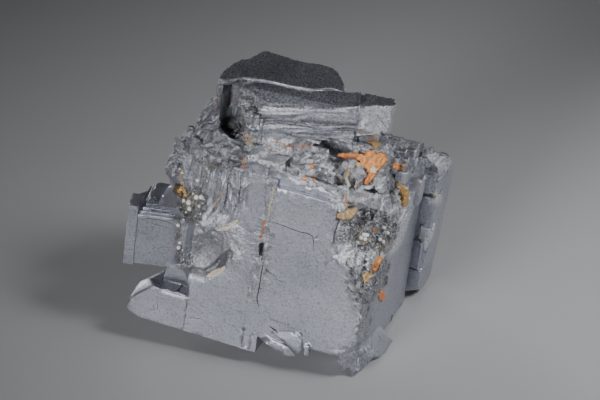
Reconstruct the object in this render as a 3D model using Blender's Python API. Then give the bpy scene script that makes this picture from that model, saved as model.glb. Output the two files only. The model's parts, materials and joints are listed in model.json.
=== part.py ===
"""A hand-sized galena specimen: cleaved lead-grey blocks with chalcopyrite and white calcite beads.

The shapes are laid out along the crystal's own axes, in millimetres: ACROSS to the right along the big
front face, DEEP away from that face, and UP along it. A point is written (across, deep, up). The last step
leans the crystal as it lies and sets the origin under the middle of the specimen, on the ground.
"""

import math
import random

import bmesh
import bpy
from mathutils import Euler, Matrix, Vector

MM = 0.001
LIE = Euler((math.radians(-1.9), math.radians(6.8), math.radians(-20.6)))
GROUND = -11.3

FACE_RIGHT = 34.9
FACE_BACK = 55.5
UNDERSIDE = -4.7
LEFT_END = -45.3
TOP_TURN = 20.0
LOOSE_DEGREES = 0.12
LOOSE_SHIFT = 0.03
LEFT_TURN = 18.0
HAIRLINE = 0.3
POCKET_RISE = 6.0
LEAD_GREY = (0.32, 0.33, 0.37)
COPPER_GOLD = (0.66, 0.34, 0.14)
BEAD_WHITE = (0.82, 0.83, 0.80)

# Patches of chalcopyrite set in the galena: where each one sits, which way it looks, and its outline as
# (right, up) points seen from outside.
CHALCOPYRITE = [
    {"name": "chalcopyrite_star", "middle": (26.1, 15.8, 67.0), "normal": (0.31, -0.85, 0.43), "sunk": 1.2,
     "proud": 0.4,
     "outline": [(-10.6, 0.9), (-8.5, 0.8), (-5.7, 1.2), (-3.4, 0.3), (-2.5, -1.4), (-0.9, -1.9),
                 (0.0, -3.5),
                 (-1.3, -6.9), (-0.2, -7.2), (1.4, -4.7), (2.1, -2.8), (3.5, -1.0), (4.8, 0.9), (4.5, 2.9),
                 (3.0, 3.4), (1.2, 2.5), (0.3, 4.0), (-1.6, 3.2), (-2.2, 1.9), (-5.7, 2.2), (-8.5, 1.7),
                 (-10.6, 1.4)]},
    {"name": "chalcopyrite_wedge", "middle": (24.8, 1.8, 54.4), "normal": (0.3, -0.82, 0.45), "sunk": 1.6,
     "proud": 0.7,
     "outline": [(-3.2, -1.4), (-1.6, -1.9), (1.2, -1.6), (3.0, 0.8), (2.8, 2.1), (-0.2, 1.2),
                 (-3.0, -0.4)]},
    {"name": "chalcopyrite_edge", "middle": (33.6, 12.8, 32.8), "normal": (0.66, -0.6, 0.45), "sunk": 1.4,
     "proud": 0.7,
     "outline": [(-2.4, -0.6), (-1.7, -2.1), (-0.2, -2.4), (1.2, -0.5), (2.7, 1.2), (2.2, 2.3),
                 (-0.6, 1.5)]},
    {"name": "chalcopyrite_shoulder", "middle": (33.5, 36.2, 46.8), "normal": (0.85, -0.35, 0.38),
    "sunk": 1.4,
     "proud": 0.8,
     "outline": [(-1.4, -2.9), (0.4, -3.2), (1.3, -1.6), (1.5, 1.6), (0.3, 3.6), (-1.4, 4.2), (-2.0, 2.2),
                 (-0.6, 0.2)]},
    {"name": "chalcopyrite_left", "middle": (-35.2, 9.2, 41.0), "normal": (-0.5, -0.75, 0.4), "sunk": 1.4,
     "proud": 0.6,
     "outline": [(-2.1, -1.6), (-0.4, -2.2), (1.0, -1.2), (2.0, -1.9), (2.4, -0.6), (1.0, 1.4), (-0.6, 0.9),
                 (-2.2, 0.8)]},
]

# Clusters of white calcite beads on a thin crust: sites as above, and beads as (right, up, radius).
CALCITE = [
    {"name": "calcite_cluster", "middle": (29.2, 8.4, 43.2), "normal": (0.38, -0.55, 0.75), "sunk": 1.2,
     "proud": 0.3,
     "outline": [(-2.6, -1.6), (-0.8, -2.2), (1.6, -1.7), (2.5, 0.2), (1.4, 1.9), (-1.4, 1.7), (-2.7, 0.2)],
     "beads": [(-1.7, -1.0, 0.85), (-0.7, 0.7, 0.95), (0.8, 0.9, 0.8), (1.6, -0.2, 0.85),
               (0.2, -0.4, 0.9)]},
    {"name": "calcite_pair", "middle": (33.0, 18.6, 37.4), "normal": (0.6, -0.6, 0.5), "sunk": 1.0,
     "proud": 0.3,
     "outline": [(-2.0, -2.2), (-0.2, -2.5), (1.7, -1.0), (1.9, 1.6), (0.6, 2.2), (-1.2, 0.8)],
     "beads": [(-1.0, -1.4, 0.7), (0.2, -0.7, 0.9), (-0.1, 0.5, 0.75), (0.9, 1.2, 0.8)]},
    {"name": "calcite_seam", "middle": (-30.4, 7.0, 38.4), "normal": (-0.35, -0.85, 0.4), "sunk": 1.0,
     "proud": 0.3,
     "outline": [(-1.9, -2.2), (0.4, -2.6), (2.2, -0.6), (2.1, 2.0), (-0.4, 2.4), (-2.0, 0.6)],
     "beads": [(-0.6, -1.0, 0.8), (0.7, -0.3, 0.7), (-0.5, 0.9, 0.75), (0.9, 1.1, 0.55)]},
]

# Steps that eat the corner between the front face and the right-hand face: how deep each one reaches, and
# its (across, up) edge from the top down to the right-hand face.
CORNER_STEPS = [
    (1.3, [(21.0, 60), (21.5, 56.5), (22.9, 53), (21.6, 46.8), (21.9, 42.9), (24.0, 39.2), (27.0, 36.7),
           (29.1, 34.5), (31.0, 31.1), (33.4, 26.5), (34.9, 23.5)]),
    (3.2, [(24.4, 56), (25.6, 50), (26.2, 45.5), (29.0, 38.5), (32.0, 31.5), (35, 25.5)]),
    (6.0, [(25.4, 56), (27.0, 50), (28.2, 44), (31.8, 37), (33.0, 31), (35.1, 27)]),
    (10.0, [(26.5, 56), (28.0, 50), (29.5, 43), (31.2, 39.5), (33, 31.5), (35, 28.6)]),
    (16.0, [(27.5, 56), (29.5, 50), (30.0, 44), (33.6, 36), (35.1, 30)]),
    (23.0, [(29.0, 56), (31.0, 50), (31.4, 42), (35, 31.2)]),
    (31.0, [(30.0, 56), (31.4, 50), (33.4, 42), (35.1, 32.8)]),
    (40.0, [(31.5, 56), (32.4, 48), (35, 35.8)]),
    (57.0, [(31.5, 56), (33.2, 48), (35.1, 41.6)]),
]


def clear_scene():
    for thing in list(bpy.data.objects):
        bpy.data.objects.remove(thing)


def mesh_object(name, mesh_code, loose=True):
    """Object from a shape, leant by a hair as real cleavage is, so that no two faces lie in one plane."""
    if loose:
        rng = random.Random(name)
        lean = Euler([math.radians(rng.uniform(-LOOSE_DEGREES, LOOSE_DEGREES)) for _ in range(3)])
        shift = Vector([rng.uniform(-LOOSE_SHIFT, LOOSE_SHIFT) for _ in range(3)])
        bmesh.ops.transform(mesh_code, matrix=Matrix.Translation(shift) @ lean.to_matrix().to_4x4(),
                            verts=mesh_code.verts)
    mesh = bpy.data.meshes.new(name)
    mesh_code.to_mesh(mesh)
    mesh_code.free()
    made = bpy.data.objects.new(name, mesh)
    bpy.context.scene.collection.objects.link(made)
    return made


def turned(degrees):
    """Turn about the upright crystal axis: a positive angle swings the left end towards the viewer."""
    return Matrix.Rotation(math.radians(degrees), 4, "Z")


def hull(name, points, turn=0.0):
    """Convex chunk through its corner points."""
    shape = bmesh.new()
    for point in points:
        shape.verts.new(turned(turn) @ Vector(point))
    made = bmesh.ops.convex_hull(shape, input=shape.verts)
    spare = {item for item in made["geom_interior"] if isinstance(item, bmesh.types.BMVert)}
    bmesh.ops.delete(shape, geom=list(spare), context="VERTS")
    bmesh.ops.recalc_face_normals(shape, faces=shape.faces)
    return mesh_object(name, shape)


def swept(name, corners, along, turn):
    shape = bmesh.new()
    base = shape.faces.new([shape.verts.new(turned(turn) @ Vector(corner)) for corner in corners])
    grown = bmesh.ops.extrude_face_region(shape, geom=[base])
    tips = [item for item in grown["geom"] if isinstance(item, bmesh.types.BMVert)]
    bmesh.ops.translate(shape, verts=tips, vec=turned(turn) @ Vector(along))
    bmesh.ops.recalc_face_normals(shape, faces=shape.faces)
    return mesh_object(name, shape)


def prism(name, outline, near, far, turn=0.0):
    """Block with an outline of (across, up) points, from one depth to another."""
    return swept(name, [(across, near, up) for across, up in outline], (0, far - near, 0), turn)


def plate(name, outline, low, high, turn=0.0):
    """Block with a plan of (across, deep) points, from one height to another."""
    return swept(name, [(across, deep, low) for across, deep in outline], (0, 0, high - low), turn)


def lens(name, middle, radii, turn=0.0, rings=8, sectors=14):
    """Squashed ball, for a conchoidal hollow or a rounded hump."""
    shape = bmesh.new()
    bmesh.ops.create_uvsphere(shape, u_segments=sectors, v_segments=rings, radius=1)
    for vertex in shape.verts:
        stretched = Vector([co * radius for co, radius in zip(vertex.co, radii)])
        vertex.co = turned(turn) @ stretched + Vector(middle)
    return mesh_object(name, shape)


def combine(base, tool, operation):
    step = base.modifiers.new(operation.title(), "BOOLEAN")
    step.operation = operation
    step.solver = "EXACT"
    step.object = tool
    graph = bpy.context.evaluated_depsgraph_get()
    result = bpy.data.meshes.new_from_object(base.evaluated_get(graph))
    base.modifiers.clear()
    old = base.data
    base.data = result
    bpy.data.meshes.remove(old)
    bpy.data.objects.remove(tool)


def join(base, *tools):
    for tool in tools:
        combine(base, tool, "UNION")


def cut(base, *tools):
    for tool in tools:
        combine(base, tool, "DIFFERENCE")


def staircase(edge, pace, seed):
    """Slanting edge broken into the right-angled steps of the cleavage."""
    rng = random.Random(seed)
    stairs = [edge[0]]
    for start, end in zip(edge, edge[1:]):
        run = math.dist(start, end)
        count = max(1, round(run / pace))
        for number in range(1, count + 1):
            share = number / count
            across = start[0] + (end[0] - start[0]) * share
            up = start[1] + (end[1] - start[1]) * share
            if number < count:
                across += rng.uniform(-0.7, 0.7)
                up += rng.uniform(-0.5, 0.5)
            stairs.append((across, stairs[-1][1] - 0.15 * rng.random()))
            stairs.append((across, up))
    return stairs


def front_block():
    """Big block with the bright front face and the flat right-hand face."""
    block = prism("galena", [(-4, -5.5), (FACE_RIGHT, UNDERSIDE), (FACE_RIGHT, 57.5),
                             (-4, 57.5)], 0, FACE_BACK)
    arch = hull("front_arch", [(-1, -1, 0.8), (29.5, -1, 2.8), (29.5, 16, -6), (-1, 16, -7), (-1, -1, -9),
                               (31, -1, -9), (-1, 16, -9), (29.5, 16, -9)])
    foot = hull("foot_break", [(29.5, -0.1, 2.3), (33.5, -0.1, 5.9), (35.2, -0.1, 12), (33.9, 4.6, -6.8),
                               (35.4, 3.2, 4), (29.5, -3, 2.3), (33.5, -3, 5.9), (35.2, -3, 12),
                               (40, -3, 12),
                               (40, 2, 6), (40, 4, -7), (30, -3, -10), (40, -3, -10), (40, 4.6, -10),
                               (31, 6, -10)])
    cut(block, arch, foot)
    for number, (until, edge) in enumerate(CORNER_STEPS):
        if number:
            edge = staircase(edge, 3.4, number)
        outline = edge + [(60, edge[-1][1] - 1), (60, 90), (edge[0][0], 90)]
        cut(block, prism(f"corner_step_{number}", outline, -1, until))
    return block


def front_terraces():
    """Thin plates that step back above the front face."""
    steps = []
    for number, (reach, outline) in enumerate([
        (1.6, [(-3, 62), (1, 62.6), (8.4, 62), (10.8, 60.8), (16, 60.6), (20.6, 59.2), (21.4, 50),
               (-3, 50)]),
        (3.0, [(-1, 63.6), (9.4, 63.2), (9.8, 62.4), (17, 61.8), (22.0, 60.2), (22.6, 50), (-1, 50)]),
        (4.8, [(2, 65.4), (12.4, 64.8), (12.8, 63.8), (24, 61.4), (24, 50), (2, 50)]),
    ]):
        steps.append(prism(f"terrace_{number}", outline, reach, 20))
    return steps


def left_front():
    face = prism("left_face", [(-30, -6), (1, -6), (1, 39), (-12, 39), (-25.5, 35), (-25.5, 7.6),
                               (-30, 7.6)], 0, 9)
    behind = plate("left_behind", [(-30, 5), (0.05, 5), (0.05, 40), (-24, 40), (-30, 26)], -6, 7.4)
    wedge = hull("left_wedge", [(-45.8, 0, -3.6), (-45.7, 0, -0.8), (-44.4, 0, 0.4), (-43.6, 0, 1.1),
                                (-37.3, 0, 7.6),
                                (-25, 0, 7.6), (-25, 0, -6), (-41, 0, -6.1), (-44.6, 0, -4.9),
                                (-44.8, 1.6, 1.6),
                                (-44.3, 5.9, 4), (-40, 3.7, 7.6), (-37.7, 6.7, 7.6), (-37.7, 11.9, 7.6),
                                (-25, 30, 7.6),
                                (-25, 30, -6), (-40, 14, -6), (-44, 6, -4)])
    recess = prism("recess", [(-37, 4), (-22, 4), (-22, 16), (-29, 16.4), (-35, 13.6)], 5.5, 30)
    column = plate("column", [(-25.4, 0.6), (-10, 0.6), (1, 0.6), (1, 50), (-32, 45), (-32, 9.5)], 13, 37)
    foot = plate("column_foot", [(-25.4, 0.5), (1, 0.5), (1, 50), (-25.4, 45)], 5, 14)
    sill = hull("curtain_sill", [(-25.4, 0.1, 34.4), (-12.5, 0.1, 38), (-28, 5.5, 44.5), (-20, 1.9, 44),
                                 (-12.5, 0.1, 41), (-31, 9, 37), (-12, 9, 33), (-28, 9, 44), (-12, 9, 41)])
    curtain = plate("curtain", [(-33, 9), (-28, 5.5), (-20, 1.9), (-12.5, 0.05), (1, 0.05), (1, 50),
                                (-32, 45)],
                    36, 60)
    high = plate("high_face", [(-12.5, 0.2), (-2.6, 0.2), (-2.6, 20), (-12.5, 20)], 50, 65.5)
    shelf = hull("high_shelf", [(-12, 0.3, 65.4), (-2.6, 0.3, 65.4), (2, 3, 66), (2, 16, 67), (-14, 12, 66),
                                (-14, 3, 60), (2, 3, 55), (-14, 14, 55), (2, 16, 55)])
    return [face, behind, wedge, recess, column, foot, sill, curtain, high, shelf]


def left_block():
    main = plate("left_block", [(-46.4, 16), (-25, 16), (-20, 36), (-38, 36),
                                (-44, 30)], 12.7, 31.6, LEFT_TURN)
    rim = plate("left_rim", [(-46.6, 15.5), (-43.2, 15.5), (-42, 24), (-46, 24)], 12.5, 35.0, LEFT_TURN)
    ledges = []
    for number, (near, left, top) in enumerate([(16.8, -43, 32.6), (17.8, -42, 33.6), (19.0, -41, 34.6)]):
        ledges.append(plate(f"left_ledge_{number}", [(left, near), (-25, near), (-22, 34), (left + 2, 34)],
                            20, top, LEFT_TURN))
    smooth = hull("left_smooth_top", [(-41.5, 14, 37.5), (-41, 5, 35), (-34, 5, 36), (-30, 12, 38.5),
                                      (-38, 20, 38.5), (-30, 24, 38), (-41, 16, 30), (-28, 8, 30),
                                      (-28, 24, 30),
                                      (-40, 22, 30)])
    return [main, rim] + ledges + [smooth]


def upper_left():
    folds = hull("upper_left", [
        (-44.8, 20, 41.8), (-43.8, 20, 46.3), (-41.3, 20, 53.6), (-37.5, 20, 55.6), (-35.5, 21, 59),
        (-34, 9, 53), (-28, 6, 57.5), (-12, 4, 63.5), (-38, 10, 44), (-34, 9, 40), (-24, 9, 63.5),
        (-20, 45, 60), (-36, 44, 52), (-40, 40, 42), (0, 45, 62), (-34, 9, 30), (-38, 40, 30),
        (-12, 12, 67),
        (-24, 12, 66.5), (-30, 16, 65),
    ])
    wall = hull("striated_wall", [
        (-30.3, 20, 73), (-32.1, 20, 70.6), (-33.8, 20, 67), (-35, 20, 63.3), (-36.4, 20, 60.8),
        (-35.8, 20, 57),
        (-24, 14, 72), (-24, 13, 60), (-22, 30, 75), (-26, 36, 70), (-34, 36, 58), (-15, 25, 60),
        (-36, 22, 50),
    ])
    striated_column = plate("striated_column", [(-35, 9.5), (-33.5, 7.6), (-29.5, 7.2), (-28, 9), (-28, 20),
                                                (-36, 20)], 36, 56.5)
    return [folds, wall, striated_column]


def top_slabs():
    low = hull("slab_low", [
        (-7, 12, 64), (25, 12, 67), (25, 12, 81.9), (15.2, 12, 80.8), (1.3, 12, 79.4), (-7.5, 12, 78.3),
        (-13.2, 13.2, 79), (-13.8, 17.5, 83.3), (-8.4, 20, 83.7), (0.6, 19, 83.6), (8, 18, 83.6),
        (15.4, 20.3, 83.8),
        (25, 20, 84), (25, 24, 84), (-8, 30, 60), (25, 30, 62), (-12, 16, 66),
    ], TOP_TURN)
    end = hull("slab_end", [
        (24, 11.3, 73), (34.2, 11.3, 75.4), (34.6, 11.5, 85.3), (24, 11.3, 84.2), (24, 20.5, 84.4),
        (35.4, 18.5, 84.2), (35.8, 14, 84.6), (35.2, 15, 74), (24, 24, 70), (34, 22, 70),
    ], TOP_TURN)
    under = hull("slab_under", [
        (22, 14, 62), (31, 14.5, 64), (33, 15, 76), (22, 13, 76), (22, 30, 60), (32, 26, 62), (22, 22, 76),
        (33, 20, 76),
    ], TOP_TURN)
    back_edge = [(19.6, 19.6), (19.6, 25.3), (18.4, 30), (16.7, 34), (11.1, 36.6), (7.2, 36.6), (1.2, 38),
                 (-6.8, 41.9), (-8.1, 40.8), (-11.9, 34.9), (-15.8, 32.2), (-18.9, 27), (-20.9, 21.5)]
    top = plate("slab_top", [(-21.6, 18), (-19.8, 17.4), (-19.0, 20.4), (-17.2, 23.4), (-14.9, 22.4),
                             (-13.9, 18.6),
                             (-8.4, 21.4), (0.6, 19.6), (8, 18.8), (12.9, 20.3), (15.4, 21)] + back_edge,
                58, 83.8, TOP_TURN)
    cap = plate("slab_cap", [(-21.8, 17.7), (-19.2, 17.1), (-14.4, 20.3), (-8.4, 20.6), (-4, 20.1),
                             (0.6, 18.8),
                             (8, 17.8), (12.9, 19.5), (15.4, 20.3)] + back_edge, 82.9, 84.7, TOP_TURN)
    bands = []
    for number, (near, outline) in enumerate([
        (11.2, [(-6.4, 75.2), (1.7, 76.0), (9.2, 75.6), (15.9, 76.1), (24.2, 77.0), (24.2, 66),
                (-6.2, 66)]),
        (10.4, [(-5.8, 73.8), (-2.6, 74.6), (4.4, 75.0), (13.2, 74.1), (23.6, 75.1), (23.8, 66),
                (-6, 64.6)]),
        (9.6, [(-5.4, 71.6), (-3.8, 72.3), (4.9, 71.2), (11.2, 71.8), (16.3, 71.6), (16.4, 65.6),
               (-5.6, 64.6)]),
        (9.9, [(16.6, 72.2), (23.6, 73.0), (23.6, 66.4), (16.6, 65.8)]),
    ]):
        bands.append(prism(f"slab_band_{number}", outline, near, 14, TOP_TURN))
    broken = [turned(TOP_TURN) @ Vector(corner) for corner in
              [(-12.6, 12.6, 78.4), (-7.6, 12.0, 77.6), (-6.6, 12.0, 70), (-12.0, 13.4, 71)]]
    crumbs = rubble("slab_crumb", broken, 14, (2, 4.5), 17, 0.1)
    return [top, cap, low, end, under] + bands + crumbs


def ridge(name, start, end, outward, width, height):
    """Roof-shaped bar lying on a face, from one point to another, sunk into what carries it."""
    start, end, outward = Vector(start), Vector(end), Vector(outward).normalized()
    side = (end - start).cross(outward).normalized() * width / 2
    sunk = outward * -1.5
    points = [start + side + sunk, start - side + sunk, end + side + sunk, end - side + sunk,
              start + side * 0.9, start - side * 0.9, end + side * 0.9, end - side * 0.9,
              start.lerp(end, 0.12) + outward * height, start.lerp(end, 0.85) + outward * height * 0.9]
    return hull(name, points)


def rubble(name, corners, count, sizes, seed, proud=0.35, spin=12.0):
    """Small cleaved blocks strewn over a patch between three or four corner points."""
    rng = random.Random(seed)
    blocks = []
    for number in range(count):
        shares = [rng.expovariate(1) for _ in corners]
        middle_point = sum((Vector(corner) * share for corner, share in zip(corners, shares)), Vector())
        middle_point /= sum(shares)
        half = [rng.uniform(*sizes) / 2 for _ in range(3)]
        turn = Euler([math.radians(rng.uniform(-spin, spin)) for _ in range(3)]).to_matrix()
        points = []
        for x in (-1, 1):
            for y in (-1, 1):
                for z in (-1, 1):
                    corner = Vector((x * half[0], y * half[1], z * half[2])) * rng.uniform(0.85, 1.0)
                    points.append(middle_point + turn @ corner + Vector((0, -proud, proud)))
        blocks.append(hull(f"{name}_{number}", points))
    return blocks


def folds_and_ribs():
    """Wavy folds over the upper left, and upright ribs on the curved curtain below them."""
    pieces = []
    for number, (start, end, width, height) in enumerate([
        ((-44, 18.5, 44), (-32, 11.5, 59), 4.5, 1.5), ((-41, 13.5, 43.5), (-29, 6.8, 57.5), 4.0, 1.3),
        ((-33.5, 12, 56), (-22, 9, 62.8), 4.2, 1.6), ((-30, 7.6, 56.5), (-18, 5.5, 62.8), 3.2, 1.2),
        ((-37, 19.5, 55), (-28, 14.5, 64.5), 4.4, 1.5), ((-25, 10, 64.6), (-13, 8, 66), 4.0, 1.3),
        ((-38, 16, 51), (-30, 11, 58.5), 2.8, 1.4),
    ]):
        pieces.append(ridge(f"fold_{number}", start, end, (-0.5, -0.6, 0.6), width, height))
    for number, (across, deep, width, height) in enumerate([
        (-13.6, 0.5, 1.8, 0.5), (-16.6, 1.0, 2.2, 0.6), (-19.6, 1.9, 1.6, 0.4), (-22.4, 3.0, 2.4, 0.7),
        (-25.6, 4.6, 2.2, 0.6),
    ]):
        pieces.append(ridge(f"rib_{number}", (across - 1.6, deep + 0.5, 37), (across + 0.6, deep, 59),
                            (-0.35, -0.93, 0), width, height))
    return pieces


def flakes():
    """Thin curved flakes that hang loose under the front face, and a chip on the right-hand foot."""
    first = hull("flake_low", [(1, 0.4, 0.6), (3.4, 0.2, -1.0), (8.7, 0, -2.6), (11.7, 0.2, -3.8),
                               (15, 0.6, -2.9),
                               (12.4, 0.2, -0.1), (8.6, 0, 0.9), (4.5, 0, 2.0), (2, 3, 3), (8, 4, 1),
                               (12, 3, -2),
                               (4, 3, 0)])
    second = hull("flake_mid", [(5.6, -0.4, 4.6), (9.6, -0.9, 2.3), (13.2, -0.9, 0.8), (16, -0.7, -1.2),
                                (17.3, -0.4, 1.5), (16.6, -0.6, 4.4), (13.8, -0.5, 6.6), (8.6, 2, 5),
                                (16, 3, 2),
                                (14, 3, -0.5), (9, 3, 2)])
    third = hull("flake_block", [(17.7, -0.6, 3.2), (19.4, -0.5, 3.6), (19.6, -0.5, -0.6),
                                 (18.0, -0.6, -0.9),
                                 (17.6, 3, 3), (19.6, 3, 3), (19.6, 3, 0), (18, 3, -0.4)])
    tab = hull("foot_tab", [(34.5, 15.0, 3.0), (34.5, 25.4, 3.0), (36.2, 25.9, 0.1), (37.0, 28, -1.5),
                            (38.1, 29.6, -3.6), (39.4, 31.2, -5.7), (39.5, 25.5, -6.0), (38.9, 18.4, -5.0),
                            (37.9, 14.8, -3.0), (33.5, 15, -7), (33.5, 30, -8), (38, 28, -7.4),
                            (38, 20, -6.6)])
    flare = hull("foot_flare", [(34.4, 4.4, 4.4), (34.5, 16.0, 3.0), (36.2, 5.0, -3.4), (37.0, 7.9, -3.2),
                                (37.6, 10.9, -2.8), (37.9, 14.8, -3.0), (33.9, 4.6, -6.8), (33, 15, -8),
                                (36, 14, -6.4),
                                (33.4, 5, -6.4), (35.4, 4.4, 0.6)])
    return [first, second, third, tab, flare]


def middle():
    slope = hull("middle", [(0, 4, 62), (22, 6, 61), (25, 10, 62), (28, 20, 66), (0, 12, 67), (12, 16, 68),
                            (30, 40, 60), (-8, 40, 60), (0, 4, 50), (20, 5, 50), (30, 40, 50)])
    knob = hull("knob", [(4, 5, 62), (9, 4.5, 61.5), (14, 6, 63), (13, 9, 68.5), (8, 8.5, 68), (4, 8, 66),
                         (5, 16, 68), (14, 18, 69), (4, 14, 60), (15, 14, 60)])
    hackle = rubble("hackle", [(4, 4.5, 63), (14, 6, 64), (13, 9, 67.5), (5, 8, 66.5),
                               (20, 8, 62.5)], 14, (2, 5), 21)
    star_wall = hull("star_wall", [(18, 11.2, 64), (18, 13.2, 68), (21, 15.8, 71), (29.4, 18.4, 70),
                                   (22, 10.1, 59),
                                   (30.2, 13.2, 59.2), (30.6, 30, 65), (18, 30, 68), (20, 30, 55),
                                   (30.6, 30, 55),
                                   (27, 24, 70)])
    shelf = hull("hollow_shelf", [(21.5, 3.5, 58.6), (26, 5, 58.2), (31.2, 12, 57.4), (31.6, 24, 55),
                                  (22, 14, 60),
                                  (24, 3.5, 54.5), (30.6, 10, 53.4), (32.2, 22, 49), (20, 6, 50),
                                  (22, 24, 50)])
    bedding = [box_between("slab_bed_left", (-5, 14.5, 59), (6, 26, 67)),
               box_between("slab_bed_right", (10, 20.4, 59), (19, 28, 68))]
    return [slope, knob, star_wall, shelf] + bedding + hackle


def shoulder():
    body = hull("shoulder", [(22, 14, 64), (29.5, 22, 66), (31.0, 28, 63.5), (31.5, 52, 54.5),
                             (20, 57, 56.5),
                             (27, 30, 66), (22, 50, 59), (15, 30, 66), (33.6, 54, 44), (20, 57, 44),
                             (31, 20, 57), (29, 55, 56), (33.6, 40, 45)])
    chips = rubble("shoulder_chip", [(29.0, 22, 65), (31.8, 30, 60), (32.6, 46, 52),
                                     (30.4, 48, 56)], 26, (2.5, 6.5),
                   11, 0.8)
    return [body] + chips


def hollow_rubble():
    """Hackly blocks in the broken corner above the right-hand face."""
    low = rubble("hollow_low", [(29.4, 5, 40.5), (31.4, 13, 38), (32.6, 8, 32.5),
                                (27.6, 2.5, 43)], 9, (2.5, 5), 5)
    high = rubble("hollow_high", [(26.5, 6, 53.5), (30, 14, 52.5), (32, 26, 49),
                                  (31, 34, 49)], 9, (3, 6), 9)
    star = rubble("star_rubble", [(23, 10.5, 60), (30.5, 14, 59.5), (32.5, 19, 63)], 5, (2.5, 4.5), 3)
    rim = hull("hollow_rim", [(33.2, 10, 30.6), (34.7, 9, 29.6), (32.6, 22, 34.2), (34.7, 22, 32.4),
                              (32.2, 34, 38.6), (34.6, 34, 36.4), (31.6, 45, 46.5), (34.6, 47, 43.4),
                              (33.4, 12, 26), (34.5, 12, 26), (32.8, 50, 36), (34.5, 50, 36)])
    return low + high + star + [rim]


def rear_slab():
    """Slab behind the right-hand face, with a narrow gap in front of it."""
    slab = hull("rear", [(38.6, 59.6, -1.0), (38.8, 64, -2.8), (39.2, 71.6, -1.4), (39.8, 76.8, 40),
                         (39.0, 69, 47.6),
                         (34, 61, 52.8), (33, 58, 54.0), (38.8, 60.6, 44), (26, 58, 53), (20, 56, -4),
                         (18, 74, -3),
                         (30, 58, -4), (16, 76, 40), (20, 60, 54)])
    blocks = []
    for number, (reach, right, low, high) in enumerate([
        (57.2, 38.6, 0.9, 7.6), (56.6, 37.6, 8.4, 19.2), (58.9, 39.4, 15.0, 25.0), (56.8, 39.9, 26.2, 36.8),
        (58.4, 39.4, 37.4, 42.5),
    ]):
        blocks.append(box_between(f"rear_block_{number}", (25, reach, low), (right, 66, high), 0))
    wedge = hull("rear_wedge", [(36.0, 56.8, 25.4), (40.2, 57.2, 25.6), (38.4, 57.0, 17.0), (34, 62, 24),
                                (39.6, 63, 25),
                                (38.8, 63, 17), (34, 63, 18)])
    notch = hull("rear_notch", [(36, 55, 41), (42, 55, 39), (36, 55, 56), (42, 55, 56), (35, 61, 44),
                                (42, 60, 40),
                                (36, 59, 56), (42, 59, 56)])
    cut(slab, notch)
    facet = hull("rear_facet", [(34.2, 57.4, 45.4), (37.6, 57.6, 46.6), (38.6, 58.2, 38.4),
                                (35.6, 57.2, 38.0),
                                (33.4, 57.2, 42), (34, 63, 45), (38.4, 63, 44), (37, 64, 38)])
    link = box_between("rear_link", (10, 50, -4), (33.2, 60, 50))
    return [slab, link, wedge, facet] + blocks


def box_between(name, low, high, turn=0.0):
    corners = [(x, y, z) for x in (low[0], high[0]) for y in (low[1], high[1]) for z in (low[2], high[2])]
    return hull(name, corners, turn)


def back_mass():
    core = hull("back", [(-22, 30, -6), (22, 40, -7), (24, 64, -4), (-8, 60, -5), (-26, 50, 0),
                         (-28, 48, 40),
                         (20, 62, 48), (-10, 58, 50), (-26, 38, 48), (20, 58, 52), (-30, 34, 4)])
    steps = []
    rng = random.Random(7)
    for number in range(16):
        across = rng.uniform(-26, 24)
        up = rng.uniform(-2, 44)
        width = rng.uniform(8, 20)
        height = rng.uniform(7, 18)
        deep = 50 + 0.22 * (across + 26) + rng.uniform(2, 9)
        steps.append(box_between(f"back_step_{number}", (across - width / 2, 38, up - height / 2),
                                 (across + width / 2, deep, up + height / 2)))
    return [core] + steps


def underside():
    """Broken lumps that reach the ground and carry the specimen."""
    lumps = [
        hull("lump_right", [(10, 22, -4), (29, 24, -4), (30, 46, -4), (8, 48, -4), (14, 26, -12),
                            (26, 28, -12),
                            (24, 40, -12), (13, 42, -12)]),
        hull("lump_left", [(-30, 20, -5), (-8, 22, -5), (-6, 44, -5), (-26, 42, -5), (-24, 25, -16),
                           (-12, 27, -16),
                           (-12, 38, -16), (-22, 37, -16)]),
        hull("lump_rear", [(2, 46, -4), (20, 48, -4), (20, 62, -4), (0, 58, -4), (6, 48, -14),
                           (16, 49, -14),
                           (16, 58, -14), (4, 56, -14)]),
    ]
    return lumps


def grown(outline, by):
    """Flat outline moved outwards by a distance, or inwards where that is negative."""
    moved = []
    for number, here in enumerate(outline):
        before = Vector(outline[number - 1])
        after = Vector(outline[(number + 1) % len(outline)])
        here = Vector(here)
        first = (here - before).normalized()
        second = (after - here).normalized()
        sides = (Vector((first.y, -first.x)), Vector((second.y, -second.x)))
        bisector = (sides[0] + sides[1]).normalized()
        moved.append(here + bisector * by / max(0.5, bisector.dot(sides[0])))
    return moved


def facing(normal):
    """Right, up and outward directions of a spot whose surface looks along a normal."""
    outward = Vector(normal).normalized()
    rise = (Vector((0, 0, 1)) - outward * outward.z).normalized()
    return rise.cross(outward), rise, outward


def rings_shape(name, site, rings):
    """Closed shape through copies of a site's outline, each at a height with its own growth."""
    right, rise, outward = facing(site["normal"])
    shape = bmesh.new()
    loops = []
    for height, by in rings:
        loops.append([shape.verts.new(Vector(site["middle"]) + right * x + rise * y + outward * height)
                      for x, y in grown(site["outline"], by)])
    for low, high in zip(loops, loops[1:]):
        for number in range(len(low)):
            after = (number + 1) % len(low)
            shape.faces.new((low[number], low[after], high[after], high[number]))
    shape.faces.new(list(reversed(loops[0])))
    shape.faces.new(loops[-1])
    bmesh.ops.recalc_face_normals(shape, faces=shape.faces)
    return mesh_object(name, shape)


def set_in(galena, site):
    """One patch of mineral, set in a pocket that leaves a hairline all round it."""
    pocket = rings_shape(site["name"] + "_pocket", site,
                         [(-site["sunk"] - HAIRLINE, HAIRLINE), (POCKET_RISE, HAIRLINE)])
    cut(galena, pocket)
    return rings_shape(site["name"], site, [(-site["sunk"], 0), (site["proud"] * 0.5, 0),
                                            (site["proud"], -0.2)])


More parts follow.
